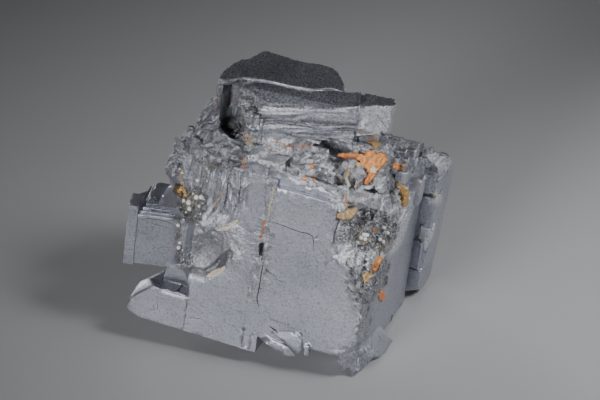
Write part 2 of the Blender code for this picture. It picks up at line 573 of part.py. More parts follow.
def bead_crust(galena, site):
    """White beads grown together on a thin crust."""
    crust = set_in(galena, site)
    right, rise, outward = facing(site["normal"])
    for number, (x, y, radius) in enumerate(site["beads"]):
        spot = Vector(site["middle"]) + right * x + rise * y + outward * (site["proud"] - 0.05)
        join(crust, lens(f"{site['name']}_bead_{number}", spot, (radius, radius, radius), rings=6,
                         sectors=9))
    return crust


def paint(piece, colour, roughness, metallic):
    material = bpy.data.materials.new(piece.name)
    material.use_nodes = True
    shader = material.node_tree.nodes["Principled BSDF"]
    shader.inputs["Base Color"].default_value = (*colour, 1)
    shader.inputs["Roughness"].default_value = roughness
    shader.inputs["Metallic"].default_value = metallic
    piece.data.materials.clear()
    piece.data.materials.append(material)


def ground_cutter():
    """Everything under the ground, in the crystal's leaning axes."""
    shape = bmesh.new()
    bmesh.ops.create_cube(shape, size=1)
    for vertex in shape.verts:
        vertex.co = Vector((vertex.co.x * 400, vertex.co.y * 400, (vertex.co.z - 0.5) * 60 + GROUND))
        vertex.co = LIE.to_matrix().inverted() @ vertex.co
    return mesh_object("ground", shape, loose=False)


def main():
    clear_scene()
    galena = front_block()
    join(galena, *front_terraces(), *left_front(), *left_block(), *upper_left(), *folds_and_ribs(),
         *top_slabs(), *middle(), *shoulder(), *hollow_rubble(), *rear_slab(), *back_mass(), *underside(),
         *flakes())
    bowl = lens("bowl", (-19.8, -4.5, 25.5), (7.6, 8.2, 9.6))
    cave = lens("slab_cave", (12.6, 14.6, 68.2), (5.2, 5.0, 3.2), TOP_TURN)
    grit = lens("grit_hollow", (31.5, 5.5, 47.0), (5.6, 8.5, 5.2), 18)
    gap = prism("seam_gap", [(-2.2, 31), (-1.2, 31), (-1.4, 35.5), (-2.6, 35)], -1, 4)
    rear_gap = prism("rear_gap", [(33.6, -8), (37, -8), (37, 43), (33.6, 43)], 55.6, 57.2)
    cut(galena, bowl, cave, grit, gap, rear_gap, ground_cutter())
    gold = [set_in(galena, site) for site in CHALCOPYRITE]
    white = [bead_crust(galena, site) for site in CALCITE]
    paint(galena, LEAD_GREY, 0.35, 0.9)
    for piece in gold:
        paint(piece, COPPER_GOLD, 0.38, 0.85)
    for piece in white:
        paint(piece, BEAD_WHITE, 0.5, 0.0)
    place([galena] + gold + white)


def place(pieces):
    """Leans the crystal as it lies, with the origin on the ground under the middle of the specimen."""
    lean = LIE.to_matrix()
    corners = [lean @ vertex.co * MM for piece in pieces for vertex in piece.data.vertices]
    low = Vector([min(point[axis] for point in corners) for axis in range(3)])
    high = Vector([max(point[axis] for point in corners) for axis in range(3)])
    axes = bpy.data.objects.new("crystal_axes", None)
    axes.rotation_euler = LIE
    axes.location = (-(low.x + high.x) / 2, -(low.y + high.y) / 2, -low.z)
    bpy.context.scene.collection.objects.link(axes)
    for piece in pieces:
        piece.data.transform(Matrix.Scale(MM, 4))
        piece.parent = axes


main()
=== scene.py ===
"""Looks of the galena specimen: cleaved lead-grey crystal, copper-gold chalcopyrite and white calcite beads.

Shapes are made along the crystal's own axes in millimetres, ACROSS to the right along the big front face,
DEEP away from it and UP along it, and are then laid down the way the specimen lies. Small marks are named by
their place on the picture that the camera takes, 600 wide and 400 high, and sit on the surface found there.
"""

import json
import math

import bmesh
import bpy
import numpy as np
from mathutils import Euler, Matrix, Vector, noise
from mathutils.bvhtree import BVHTree
from mathutils.kdtree import KDTree

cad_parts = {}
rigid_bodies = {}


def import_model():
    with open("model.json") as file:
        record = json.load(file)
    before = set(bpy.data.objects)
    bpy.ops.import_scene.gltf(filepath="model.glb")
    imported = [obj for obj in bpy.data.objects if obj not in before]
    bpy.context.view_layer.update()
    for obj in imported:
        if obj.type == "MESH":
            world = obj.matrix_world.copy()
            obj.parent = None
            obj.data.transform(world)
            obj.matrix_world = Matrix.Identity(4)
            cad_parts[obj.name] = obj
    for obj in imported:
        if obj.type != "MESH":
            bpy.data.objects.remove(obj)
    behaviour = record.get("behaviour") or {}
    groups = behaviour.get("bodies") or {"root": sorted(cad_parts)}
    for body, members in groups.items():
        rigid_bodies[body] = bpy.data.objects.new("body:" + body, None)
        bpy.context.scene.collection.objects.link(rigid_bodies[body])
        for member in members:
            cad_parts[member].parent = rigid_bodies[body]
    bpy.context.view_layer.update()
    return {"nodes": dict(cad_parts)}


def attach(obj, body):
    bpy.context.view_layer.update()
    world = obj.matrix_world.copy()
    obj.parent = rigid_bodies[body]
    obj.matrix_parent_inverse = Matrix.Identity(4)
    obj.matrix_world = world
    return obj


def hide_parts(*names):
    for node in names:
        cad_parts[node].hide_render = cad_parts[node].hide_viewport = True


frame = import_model()

# How the crystal lies.
MM = 0.001
CRYSTAL_ORIGIN = Vector((-0.01225, -0.02645, 0.0113))
LIE = Euler((math.radians(-1.9), math.radians(6.8), math.radians(-20.6)))
LAID = Matrix.Translation(CRYSTAL_ORIGIN) @ LIE.to_matrix().to_4x4() @ Matrix.Scale(MM, 4)

# The camera, and its place and axes as the crystal has them.
EYE = Vector((0.00295, -0.72865, 0.45236))
EYE_TILT = math.radians(61)
LENS_MM = 150
SENSOR_MM = 36
PICTURE_WIDTH = 600
PICTURE_HEIGHT = 400
FOCAL = LENS_MM / SENSOR_MM * PICTURE_WIDTH
EYE_SEEN = LAID.inverted() @ EYE
EYE_AXES = LIE.to_matrix().inverted() @ Matrix.Rotation(EYE_TILT, 3, "X")

# Longest edges of the refined crystal, in mm: on parts with fine relief, on other broken parts, on the upper
# slab above a height, on clean faces, and on what the camera does not see.
FINEST_EDGE = 0.72
FINE_EDGE = 1.0
SLAB_TOP_EDGE = 1.35
SLAB_TOP = 78
FACE_EDGE = 2.0
BACK_EDGE = 2.8

# Distances in mm: a point this close behind the surface still counts as seen, relief stops this close to a
# crack, corners this close are one, and slivers this thin are dropped.
NEAR_MISS = 0.9
MARK_CLEAR = 0.7
SAME_CORNER = 0.004
SLIVER = 0.012

# How many grains and blocks are strewn, how far and how coarsely the unseen sides are cleaved, and how many
# degrees the upper slab is turned against the big front face.
SAND_GRAINS = 5200
BACK_BLOCKS = 340
HIDDEN_CLEAVED = (0.72, 6.8)
UPPER_SLAB_TURN = 20

# Directions in the crystal, and what the finish knows of a part; one look is a painted highlight that
# lightens facets, another darkens with grime and painted shade, and sand darkens the tops, partly with
# painted shade.
SLAB_ALONG = Vector((0.937, 0.342, 0.07))
UPWARD = Vector((0, 0, 1))
RISING = Vector((0.63, 0.2, 0.75)).normalized()
LOOKS = ("broken", "grime_and_shade", "stain", "sand", "painted_highlight")

# Parts of the surface that broke in their own way. Each has its outline on the picture, corner by corner, and
# its reliefs, as (kind, direction, length, width, height in mm). For the finish it has some of LOOKS, from 0
# to 1. A settled part is evened out so many rounds before it gets its relief, a cleaved part broke in
# cube-shaped steps (how far, how coarsely in mm), a part inside another takes its place there, and the
# finest parts need the smallest facets.
# A part's highlight share is painted highlight, its grime share is partly painted shade, and its sand share
# is partly painted shade on the tops.
PARTS = {
    "slab_front": dict(
        outline=[(256, 108), (270, 104), (300, 105), (330, 110), (361, 110), (363, 144), (330, 144),
                 (300, 141), (280, 137), (262, 132), (252, 120)],
        reliefs=[("pleats", SLAB_ALONG, 34, 2.6, 0.26), ("waves", SLAB_ALONG, 16, 0.9, 0.10)],
        broken=0.5, painted_highlight=0.12, finest=True),
    "slab_slope": dict(
        outline=[(236, 83), (262, 86), (290, 91), (330, 93), (345, 92), (362, 97), (385, 99), (395, 104),
                 (385, 104), (370, 103), (361, 108), (330, 108), (300, 104), (270, 102), (262, 100),
                 (248, 88)],
        reliefs=[("waves", SLAB_ALONG, 8, 2.5, 0.12)],
        broken=0.2, sand=0.9, settled=4),
    "slab_block": dict(
        outline=[(361, 106), (370, 102), (386, 102), (395, 106), (394, 120), (391, 136), (383, 138),
                 (370, 131), (362, 127)],
        reliefs=[("waves", Vector((0.6, 0, -0.8)), 7, 1.1, 0.16), ("scallops", UPWARD, 3.4, 3.4, 0.12)],
        broken=0.8, painted_highlight=0.6, cleaved=(0.15, 1.6)),
    "slab_end": dict(
        outline=[(240, 90), (248, 88), (264, 96), (258, 110), (252, 124), (242, 124), (239, 105)],
        reliefs=[("scallops", UPWARD, 2.2, 2.2, 0.7), ("waves", RISING, 2, 0.8, 0.2)],
        broken=0.7, grime_and_shade=0.45, stain=0.1, settled=2, cleaved=(0.45, 2.0)),
    "slab_wall": dict(
        outline=[(217, 80), (241, 80), (241, 121), (222, 126), (214, 112)],
        reliefs=[("pleats", UPWARD, 12, 2.6, 0.6), ("waves", UPWARD, 5, 0.9, 0.2)],
        broken=0.3, grime_and_shade=0.7, settled=5),
    "dark_wall": dict(
        outline=[(205, 97), (217, 94), (217, 112), (221, 127), (210, 129), (193, 129), (197, 112)],
        reliefs=[("pleats", Vector((0.5, 0.25, 0.83)), 14, 1.7, 0.55)],
        broken=0.4, grime_and_shade=0.6, settled=4, finest=True),
    "upper_left": dict(
        outline=[(160, 163), (172, 147), (182, 135), (196, 126), (222, 124), (244, 124), (248, 140),
                 (246, 160), (232, 168), (206, 170), (202, 160), (184, 158), (182, 178), (172, 176)],
        reliefs=[("pleats", RISING, 12, 4.2, 1.15), ("scallops", RISING, 4.6, 3.0, 0.5),
                 ("waves", RISING, 4, 0.9, 0.12)],
        broken=0.9, grime_and_shade=0.46, settled=7, cleaved=(0.28, 4.2)),
    "left_column": dict(
        outline=[(183, 157), (201, 159), (202, 186), (196, 194), (186, 192), (182, 178)],
        reliefs=[("pleats", UPWARD, 20, 2.0, 0.5), ("waves", UPWARD, 9, 0.8, 0.12)],
        broken=0.6, grime_and_shade=0.2, stain=0.1, settled=8, finest=True),
    "curtain": dict(
        outline=[(206, 170), (232, 168), (246, 160), (250, 175), (242, 205), (236, 220), (222, 230),
                 (206, 232), (196, 226), (200, 208), (206, 190)],
        reliefs=[("pleats", Vector((0.11, 0.05, 1)), 26, 3.2, 0.6),
                 ("waves", Vector((0.11, 0.05, 1)), 9, 0.9, 0.12)],
        broken=0.5, grime_and_shade=0.05, settled=5, finest=True),
    "left_grit": dict(
        outline=[(179, 190), (200, 188), (206, 196), (203, 212), (198, 222), (186, 222), (180, 206)],
        reliefs=[("scallops", UPWARD, 2.0, 2.0, 0.6), ("waves", RISING, 1.2, 0.9, 0.3)],
        broken=0.7, grime_and_shade=0.7, stain=0.4, settled=4, cleaved=(0.45, 1.7)),
    "left_crumbs": dict(
        outline=[(182, 250), (187, 247), (193, 252), (192, 266), (184, 269), (179, 263)],
        reliefs=[("scallops", UPWARD, 2.0, 1.5, 0.5)],
        broken=0.7, grime_and_shade=0.4, stain=0.2, cleaved=(0.45, 1.6)),
    "left_seam": dict(
        outline=[(177.2, 217), (180, 219), (181, 240), (180.3, 262), (178, 262), (177.6, 240)],
        reliefs=[("sunk", UPWARD, 1, 1, 0.35)],
        broken=0.5, grime_and_shade=0.5, stain=0.5),
    "bowl": dict(
        outline=[(192, 235), (196, 230), (209, 226), (221, 230), (231, 238), (234, 243), (231, 253),
                 (227, 260), (222, 266), (213, 271), (204, 277), (196, 276), (191, 271), (191, 255)],
        reliefs=[("pleats", Vector((0.1, 0, 1)), 18, 3.2, 0.16),
                 ("scallops", Vector((0.3, 0, 0.95)), 8, 4.5, 0.22),
                 ("waves", Vector((0.1, 0, 1)), 9, 1.0, 0.06)],
        broken=0.2, grime_and_shade=0.3, stain=0.2, settled=26, finest=True),
    "bowl_side": dict(
        outline=[(222, 226), (238, 226), (243, 246), (236, 262), (230, 258), (234, 242)],
        reliefs=[("pleats", Vector((-0.25, 0, 0.97)), 9, 2.4, 0.5)],
        broken=0.6, painted_highlight=0.2, settled=8),
    "seam": dict(
        outline=[(262, 166), (276, 160), (275, 190), (271, 225), (272, 240), (268, 262), (262, 290),
                 (256, 300), (247, 298), (249, 270), (256, 256), (258, 236), (264, 216), (267, 190)],
        reliefs=[("scallops", UPWARD, 4.0, 1.6, 0.3), ("waves", UPWARD, 4, 0.9, 0.14)],
        broken=0.45, grime_and_shade=0.22, stain=0.08, settled=3, cleaved=(0.15, 1.6)),
    "middle": dict(
        outline=[(246, 140), (300, 142), (330, 144), (365, 146), (350, 160), (340, 165), (342, 190),
                 (320, 187), (300, 182), (276, 170), (258, 160), (246, 160)],
        reliefs=[("pleats", SLAB_ALONG, 12, 2.9, 0.75), ("scallops", SLAB_ALONG, 4.4, 2.8, 0.5)],
        broken=0.8, grime_and_shade=0.15, painted_highlight=0.6, settled=5, cleaved=(0.34, 4.2)),
    "folds": dict(
        outline=[(340, 186), (352, 184), (366, 188), (384, 184), (396, 190), (404, 198), (402, 212),
                 (390, 212), (372, 208), (360, 212), (352, 208), (344, 214), (334, 208), (334, 198)],
        reliefs=[("scallops", SLAB_ALONG, 5.4, 4.2, 1.1), ("waves", RISING, 4.0, 1.0, 0.12)],
        broken=1.0, painted_highlight=0.5, settled=8, cleaved=(0.2, 3.6), finest=True),
    "star_bed": dict(
        outline=[(338, 162), (352, 152), (366, 146), (390, 148), (392, 160), (384, 184), (366, 188),
                 (350, 184), (338, 182)],
        reliefs=[("scallops", RISING, 4.4, 3.0, 0.6), ("waves", RISING, 3, 0.9, 0.14)],
        broken=0.8, grime_and_shade=0.2, stain=0.05, painted_highlight=0.3, settled=5, cleaved=(0.4, 3.2)),
    "hollow": dict(
        outline=[(352, 223), (364, 212), (373, 210), (383, 212), (393, 218), (399, 224), (396, 235),
                 (392, 245), (386, 252), (376, 249), (362, 249), (352, 242), (342, 243), (336, 238),
                 (337, 231), (343, 224)],
        reliefs=[("scallops", UPWARD, 2.2, 1.8, 0.6), ("waves", RISING, 1.3, 0.9, 0.25)],
        broken=0.9, grime_and_shade=0.38, stain=0.3, painted_highlight=0.3, settled=4, cleaved=(0.25, 1.7), finest=True),
    "rear_ledge": dict(
        outline=[(381, 134), (396, 135), (413, 142.5), (421, 148), (410, 149), (397, 146.5), (385, 146)],
        reliefs=[("scallops", RISING, 2.4, 2.0, 0.35)],
        broken=0.8, grime_and_shade=0.1, painted_highlight=0.5),
    "rear_facet_top": dict(
        outline=[(424, 156), (436, 155), (449, 160), (447, 168), (438, 170), (430, 165)],
        reliefs=[("pleats", RISING, 5, 2.0, 0.3)],
        broken=0.8, painted_highlight=0.8),
    "rear_facet_middle": dict(
        outline=[(422, 174), (428, 173), (433, 181), (433, 190), (429, 194), (424, 184)],
        reliefs=[("sunk", UPWARD, 1, 1, 0.5)],
        broken=0.8, painted_highlight=0.9),
    "rear_facet_low": dict(
        outline=[(418, 240), (423, 234), (433, 228), (430, 238), (424, 249)],
        reliefs=[("sunk", UPWARD, 1, 1, -0.4)],
        broken=0.8, painted_highlight=0.95),
    "rear_facet_ledge": dict(
        outline=[(428, 196), (436, 194), (442, 197), (438, 203), (430, 202)],
        reliefs=[("scallops", UPWARD, 2.0, 1.6, 0.4)],
        broken=0.8, painted_highlight=0.9),
    "slab_streak": dict(
        outline=[(263, 107.5), (287, 107.5), (303, 110.5), (287, 114.5), (265, 114.5)],
        reliefs=[("sunk", UPWARD, 1, 1, -0.2)],
        broken=0.5, painted_highlight=0.8),
    "upper_dark": dict(
        outline=[(196, 128), (215, 126.5), (236, 131), (246, 143), (236, 146), (222, 143), (205, 141.5),
                 (197, 138)],
        reliefs=[("pleats", RISING, 18, 5.0, 0.5), ("waves", RISING, 5, 1.0, 0.12)],
        broken=0.3, grime_and_shade=0.5, settled=12, inside="upper_left"),
    "bowl_rim": dict(
        outline=[(191.5, 268), (203, 272.5), (215, 265.5), (228, 251.5), (231, 254), (218, 270), (204, 278),
                 (191, 274)],
        reliefs=[("sunk", UPWARD, 1, 1, 0.7)],
        broken=0.2, grime_and_shade=0.65, stain=0.1, inside="bowl"),
    "cleft": dict(
        outline=[(223, 121), (238, 118), (245, 122), (244, 128), (238, 131), (240, 138), (246, 143),
                 (243, 146), (234, 140), (228, 132), (222, 127)],
        reliefs=[("sunk", UPWARD, 1, 1, 1.5)],
        broken=0.3, grime_and_shade=1.0, stain=0.1),
    "middle_shadow": dict(
        outline=[(325, 143.5), (331, 142.5), (339, 150), (346, 156), (338, 156.5), (330, 152)],
        reliefs=[("sunk", UPWARD, 1, 1, 1.2)],
        broken=0.4, grime_and_shade=0.8, inside="middle"),
    "wedge_recess": dict(
        outline=[(154, 278.5), (172, 282), (186, 285.5), (186, 295), (172, 291.5), (161, 288.5)],
        reliefs=[("sunk", UPWARD, 1, 1, 0.7)],
        broken=0.2, grime_and_shade=0.6),
    "slab_band": dict(
        outline=[(262, 118.5), (300, 121), (330, 124), (359, 127), (359, 130.5), (330, 128), (300, 125),
                 (262, 122.5)],
        reliefs=[("sunk", UPWARD, 1, 1, 0.28)],
        broken=0.4, grime_and_shade=0.42),
    "slab_band_low": dict(
        outline=[(262, 131), (300, 134), (345, 139), (358, 140), (357, 143), (330, 141.5), (300, 138),
                 (262, 134.5)],
        reliefs=[("sunk", UPWARD, 1, 1, 0.28)],
        broken=0.4, grime_and_shade=0.36),
    "cavity_left": dict(
        outline=[(336, 172.5), (343.5, 172), (343, 182), (337, 182)],
        reliefs=[("sunk", UPWARD, 1, 1, 1.6)],
        broken=0.3, grime_and_shade=1.0, stain=0.3),
    "cavity_right": dict(
        outline=[(350, 178), (354, 178), (356, 187), (351.5, 188)],
        reliefs=[("sunk", UPWARD, 1, 1, 1.5)],
        broken=0.3, grime_and_shade=1.0, stain=0.3),
    "bright_strip": dict(
        outline=[(406, 193), (418, 192), (411, 211), (400, 244), (391, 254), (394, 240), (402, 214)],
        reliefs=[("waves", Vector((0.2, 0, 0.98)), 8, 1.0, 0.16)],
        broken=1.0, painted_highlight=0.8, settled=2, inside="striated"),
    "striated": dict(
        outline=[(336, 246), (352, 243), (366, 248), (384, 254), (378, 268), (366, 272), (350, 268),
                 (340, 262)],
        reliefs=[("pleats", Vector((0.32, 0.1, 0.94)), 16, 1.9, 0.5), ("waves", UPWARD, 3, 1, 0.12)],
        broken=1.0, painted_highlight=0.9, settled=7, cleaved=(0.3, 3.4), finest=True),
    "rubble": dict(
        outline=[(348, 266), (372, 266), (384, 258), (389, 264), (385, 284), (374, 296), (366, 304),
                 (354, 300), (346, 286)],
        reliefs=[("scallops", UPWARD, 2.2, 1.8, 0.5), ("waves", RISING, 1.5, 0.9, 0.2)],
        broken=0.7, grime_and_shade=0.4, stain=0.15, settled=3, cleaved=(0.4, 2.6)),
    "shoulder": dict(
        outline=[(386, 146), (398, 140), (424, 148), (440, 150), (452, 156), (448, 172), (424, 174),
                 (404, 172), (396, 182), (384, 184)],
        reliefs=[("scallops", UPWARD, 3.6, 3.0, 0.35), ("waves", RISING, 5, 1.0, 0.14)],
        broken=0.8, grime_and_shade=0.1, cleaved=(0.3, 2.6)),
    "foot": dict(
        outline=[(336, 352), (356, 344), (374, 352), (372, 364), (354, 378), (344, 374), (334, 362)],
        reliefs=[("pleats", Vector((0.95, 0, 0.3)), 8, 1.4, 0.3)],
        broken=0.5, grime_and_shade=0.2),
    "grainy_edge": dict(
        outline=[(354, 300), (368, 298), (372, 312), (366, 338), (358, 345), (356, 330), (360, 316)],
        reliefs=[("scallops", UPWARD, 1.8, 1.5, 0.35)],
        broken=0.5, grime_and_shade=0.14, stain=0.05, cleaved=(0.4, 1.6)),
}

# Cracks and step lines, as (places along it, width, depth in mm).
MARKS = {
    "face_step": ([(272, 221.5), (280, 224.5), (290, 228.5), (300, 232), (308, 233.5), (312.5, 236),
                   (313.5, 241), (313, 252)], 0.36, 0.35),
    "face_step_tail": ([(313.5, 255), (316, 258), (318, 264), (317.5, 272)], 0.24, 0.25),
    "face_ledge": ([(263, 269.5), (270, 272.5), (275, 275.5), (276, 279.5), (281, 281), (288, 283.5)],
                   0.34, 0.32),
    "face_tick_left": ([(282.5, 229), (282.8, 235)], 0.16, 0.2),
    "face_tick_middle": ([(286, 236), (292, 239.5)], 0.16, 0.2),
    "face_tick_low": ([(321, 273.5), (320.5, 277.5), (321.5, 283)], 0.2, 0.25),
    "face_tick_right": ([(339.5, 289), (340, 297)], 0.16, 0.2),
    "face_tick_foot": ([(293, 298), (293.5, 306)], 0.16, 0.2),
    "wall_line": ([(398, 262), (396, 276), (394, 292)], 0.16, 0.2),
    "wall_line_low": ([(384, 300), (383, 314)], 0.16, 0.2),
    "rear_line_upper": ([(437, 172), (436, 190)], 0.3, 0.5),
    "rear_line_low": ([(431, 252), (428, 276)], 0.3, 0.5),
    "seam_line": ([(264, 261), (262.5, 267), (261, 275), (260, 283), (258.5, 290), (257, 297),
                   (257.5, 303), (259.5, 309)], 0.4, 0.7),
    "low_step": ([(260.5, 311.2), (269, 313), (270, 319), (277, 321.5), (285, 324), (295, 325.5)],
                 0.22, 0.35),
    "flake_gap_upper": ([(268.5, 326), (272, 328), (276, 331.5), (278.5, 334)], 0.5, 2.2),
    "flake_gap_right": ([(296, 331.5), (300, 333), (303.5, 336.5)], 0.5, 2.0),
    "low_left_line": ([(252, 331), (262, 332.5), (269.5, 335)], 0.15, 0.2),
    "face_pin_hole": ([(315.5, 292), (316.6, 292.2)], 0.4, 0.9),
    "low_crack": ([(158, 289), (158, 300), (157.3, 308.6), (150, 310), (143.5, 310.3)], 0.2, 0.3),
    "low_dash": ([(187, 317), (197, 318.2), (207, 319.2)], 0.18, 0.25),
    "low_dash_right": ([(222, 322), (235, 326.3), (247, 331)], 0.22, 0.3),
    "block_ledge_upper": ([(137.5, 220.5), (147, 218.3), (163, 220.5), (175, 225)], 0.28, 0.5),
    "block_ledge_lower": ([(146, 222.3), (159.5, 225.4), (172, 229.3)], 0.22, 0.35),
    "block_edge_line": ([(135.6, 223.5), (134.9, 238.5)], 0.2, 0.3),
    "block_edge_line_low": ([(135, 251.5), (134.5, 262)], 0.2, 0.3),
    "block_notch_upper": ([(125.8, 242), (134, 241)], 0.3, 0.6),
    "block_notch_lower": ([(126, 249.7), (134, 249)], 0.25, 0.4),
    "block_stain_crack": ([(156, 249.6), (161.7, 246.8), (171, 247.6)], 0.18, 0.25),
    "curtain_slit": ([(252.8, 168), (252.8, 173.5)], 0.5, 1.3),
    "rim_slit": ([(237, 224), (240.8, 225.2)], 0.6, 1.2),
    "bowl_slit": ([(224.5, 231), (229, 232.3), (233, 234.4)], 0.4, 0.8),
    "seam_gap": ([(257.7, 243), (259.6, 247), (260.2, 251), (259, 254.5)], 0.32, 2.6),
    "slab_joint": ([(331, 131), (331, 142)], 0.22, 0.5),
    "slab_joint_low": ([(295, 136), (295, 141)], 0.22, 0.5),
    "curtain_line": ([(229, 172), (227.5, 190), (224.5, 204), (220.5, 214)], 0.28, 0.4),
    "curtain_line_right": ([(241, 171), (240.5, 185), (238, 198)], 0.22, 0.3),
    "block_scratch": ([(376, 113), (382, 121.5), (388, 130)], 0.3, 0.4),
    "block_scratch_low": ([(368, 127), (377, 119), (384, 114)], 0.18, 0.2),
    "block_scratch_top": ([(377, 107), (386, 111)], 0.18, 0.25),
    "right_slit": ([(367, 144.5), (371, 146), (379, 145.5)], 0.7, 1.6),
    "tab_crack": ([(378, 333), (381.5, 341)], 0.22, 0.5),
    "tab_crack_low": ([(375.5, 350), (378.5, 354)], 0.22, 0.5),
}

# Threads that run over the crystal, as (places, width, height in mm, finish).
THREADS = {
    # The slab edge line is a painted highlight along the upper slab's edge.
    "slab_edge_line": ([(226, 81), (232, 79.3), (241, 78.6), (252, 79.8), (260, 81), (275, 84), (287, 86.5),
                        (300, 88.8), (310, 90.3), (325, 90.5)], 0.42, 0.30, "bright"),
    "seam_upper": ([(273.3, 189), (273, 195), (271.3, 200), (270, 206), (269, 211), (268.3, 216)],
                   0.6, 0.4, "cream"),
    "seam_lower": ([(265.5, 219), (264, 224), (263.4, 229), (262.9, 233), (260, 237.5)], 0.6, 0.4, "copper"),
    "groove_gold": ([(344.5, 195.5), (345.8, 199), (347.3, 203.5), (346.5, 206)], 0.8, 0.5, "copper"),
}

# Lines of crumbs, as (places along it, width in mm, crumbs per mm, finish).
CRUMB_LINES = {
    "under_slab": ([(272, 142), (277, 143), (283, 144), (287, 145.5), (292, 147), (298, 147), (303, 146),
                    (309, 145)], 0.5, 6, "copper"),
    "under_slab_low": ([(276, 148.5), (281, 149.5)], 0.5, 5, "copper"),
    "curtain_gold": ([(222.8, 191), (221.5, 195), (219, 199), (216.5, 203), (214.8, 205.5)], 0.5, 6, "gold"),
    "seam_upper": ([(273.3, 187), (273, 195), (271.3, 200), (270, 206), (268.3, 216)], 0.7, 4, "cream"),
    "seam_lower": ([(265.5, 219), (264, 224), (263.4, 229), (262.9, 233), (259.5, 238)], 0.7, 5, "copper"),
    "curtain_dots": ([(229.3, 175), (227.8, 190), (224.8, 204), (221, 213)], 0.7, 3, "dark"),
    "curtain_dots_right": ([(241, 172), (240.6, 185), (238.2, 198)], 0.6, 3, "dark"),
    "gold_arm_up": ([(181.5, 170), (181.3, 179), (181.5, 186), (178.5, 193)], 1.0, 9, "gold"),
    "gold_arm_down": ([(182, 186), (185, 190.5), (187, 196)], 0.9, 9, "gold"),
    "left_seam": ([(180, 217), (178.5, 230), (179.5, 245), (179, 262)], 0.8, 5, "brown"),
    "star_tail": ([(341, 160.7), (345.5, 158.4), (352, 156.8)], 0.4, 4, "copper"),
}

# Short prisms of yellowish mineral, as (first end, second end, width in mm, finish).
PRISMS = {
    "long_upper": ((349.3, 168.3), (345.8, 178.2), 1.25, "tan"),
    "long_lower": ((345.9, 177.2), (349.6, 186.5), 1.15, "cream_dull"),
    "short": ((357.2, 180.5), (355, 188.2), 0.95, "cream_dull"),
    "flat": ((338.2, 177.3), (342.2, 177.6), 1.5, "cream_dull"),
}

# Cube-shaped teeth of the crystal, as (x, y, size across, deep and up in mm).
TEETH = {
    "tooth_left": (401, 153.5, (3.4, 2.4, 2.8)), "tooth_middle": (411, 152.5, (3.2, 2.4, 2.6)),
    "tooth_right": (420, 152.5, (2.8, 2.2, 2.2)), "tooth_low_left": (397, 160, (1.8, 1.8, 2.0)),
    "tooth_low": (404.5, 161, (2.4, 2.0, 2.2)), "tooth_low_right": (413, 161.5, (2.6, 2.4, 2.4)),
    "facet_left": (402, 176, (4.0, 2.8, 4.0)), "column": (414.5, 188, (5.6, 4.6, 10.0)),
    "column_behind": (428, 184, (2.4, 3.4, 6.0)), "column_low": (424, 232, (2.2, 3.0, 5.0)),
    "ledge_tooth": (409, 168, (2.0, 2.0, 3.0)), "wall_tooth": (421, 172, (1.8, 2.2, 4.0)),
}

# Flat crusts of mineral, as (outline on the picture, thickness in mm, finish).
CRUSTS = {
    "rim_upper": ([(218, 230.5), (219, 227.8), (226, 227), (230, 225), (233, 222), (236.5, 219.5),
                   (239, 220), (238, 223), (233, 226.5), (229, 229.5), (223, 231)], 0.35, "cream"),
    "rim_lower": ([(204.5, 277.5), (210, 273), (216, 269), (222, 267.5), (224.5, 265.5), (225, 269),
                   (218, 274), (211, 277)], 0.35, "cream"),
    "gold_by_hollow": ([(362, 276), (366, 272.5), (371, 273), (372.5, 276.5), (368, 280), (364, 281)],
                       0.5, "gold"),
    "gold_low_right": ([(378, 292), (381.5, 290), (385, 292.5), (384.5, 297), (381, 302), (378, 299)],
                       0.5, "copper"),
    "gold_by_star": ([(392, 163.5), (396, 162), (400, 164), (399.5, 169), (396, 170.5), (393, 168)],
                     0.5, "copper"),
    "olive_by_star": ([(400, 164), (405, 164.5), (406, 168), (402, 170.5), (400, 168.5)], 0.4, "tan"),
    "gold_on_slab": ([(366.5, 141.5), (371, 141), (378, 142.5), (381.5, 145.5), (377, 148), (371, 144.5)],
                     0.6, "gold"),
    "shoulder_top": ([(395, 183), (399, 181), (402, 186), (400, 190), (396, 188)], 0.5, "tan"),
    "left_gold_arm": ([(176, 188), (179, 189.5), (181, 185), (184, 187.5), (188, 196), (185.5, 197.5),
                       (181.5, 190), (178.5, 193)], 0.5, "gold"),
    "star_foot": ([(369.5, 168), (374, 166.5), (377.5, 169), (376, 173.5), (371, 172.5)], 0.45, "cream"),
    "near_seam": ([(302, 178), (306, 176.5), (309, 178.5), (304, 181)], 0.5, "copper"),
    "near_seam_right": ([(312, 178.5), (315.5, 178), (316, 180.5), (313, 181)], 0.5, "copper"),
    "above_seam": ([(310, 164.5), (313.5, 163), (314, 167.5), (311, 168)], 0.5, "copper"),
    "below_star": ([(354.5, 163.5), (361, 162.3), (362.5, 165), (358, 167.5)], 0.5, "gold"),
}

# Round white beads, as (x, y) on the picture and width in mm. The first three lots stand for the solids.
BEADS = {
    "calcite_cluster": [(357, 243.2, 1.45), (361, 238, 1.45), (364, 234.8, 1.4), (367, 235.3, 1.4),
                        (365.2, 239.2, 1.3), (369.5, 239.7, 1.35)],
    "calcite_pair": [(379.6, 239.5, 1.3), (382.8, 242, 1.35), (376.8, 244.2, 0.9), (376.5, 248, 0.8),
                     (384, 228.5, 1.45), (387, 233, 1.4)],
    "calcite_seam": [(189.6, 202.4, 1.9), (190.2, 208.8, 1.6), (196.6, 197, 1.7), (201.8, 196.8, 1.7),
                     (198, 180, 1.5), (184, 200.5, 1.3)],
    "loose": [(178.3, 224.8, 1.35), (180, 242.5, 1.15), (178.8, 247.3, 1.4), (163.3, 196, 0.8),
              (180.2, 169, 0.75), (182.8, 173, 0.8), (184, 219.5, 0.8), (207, 168.5, 0.8),
              (319.8, 169.6, 0.9), (326, 172.8, 0.9), (193.5, 193.5, 0.9), (186, 212, 0.8),
              (199, 206, 0.9), (207.5, 181, 0.6)],
}

# Where the crusts under the beads lie: middle and the way they face.
BEAD_GROUNDS = {
    "calcite_cluster": ((29.2, 8.4, 43.2), (0.38, -0.55, 0.75)),
    "calcite_pair": ((33.0, 18.6, 37.4), (0.6, -0.6, 0.5)),
    "calcite_seam": ((-30.4, 7.0, 38.4), (-0.35, -0.85, 0.4)),
}

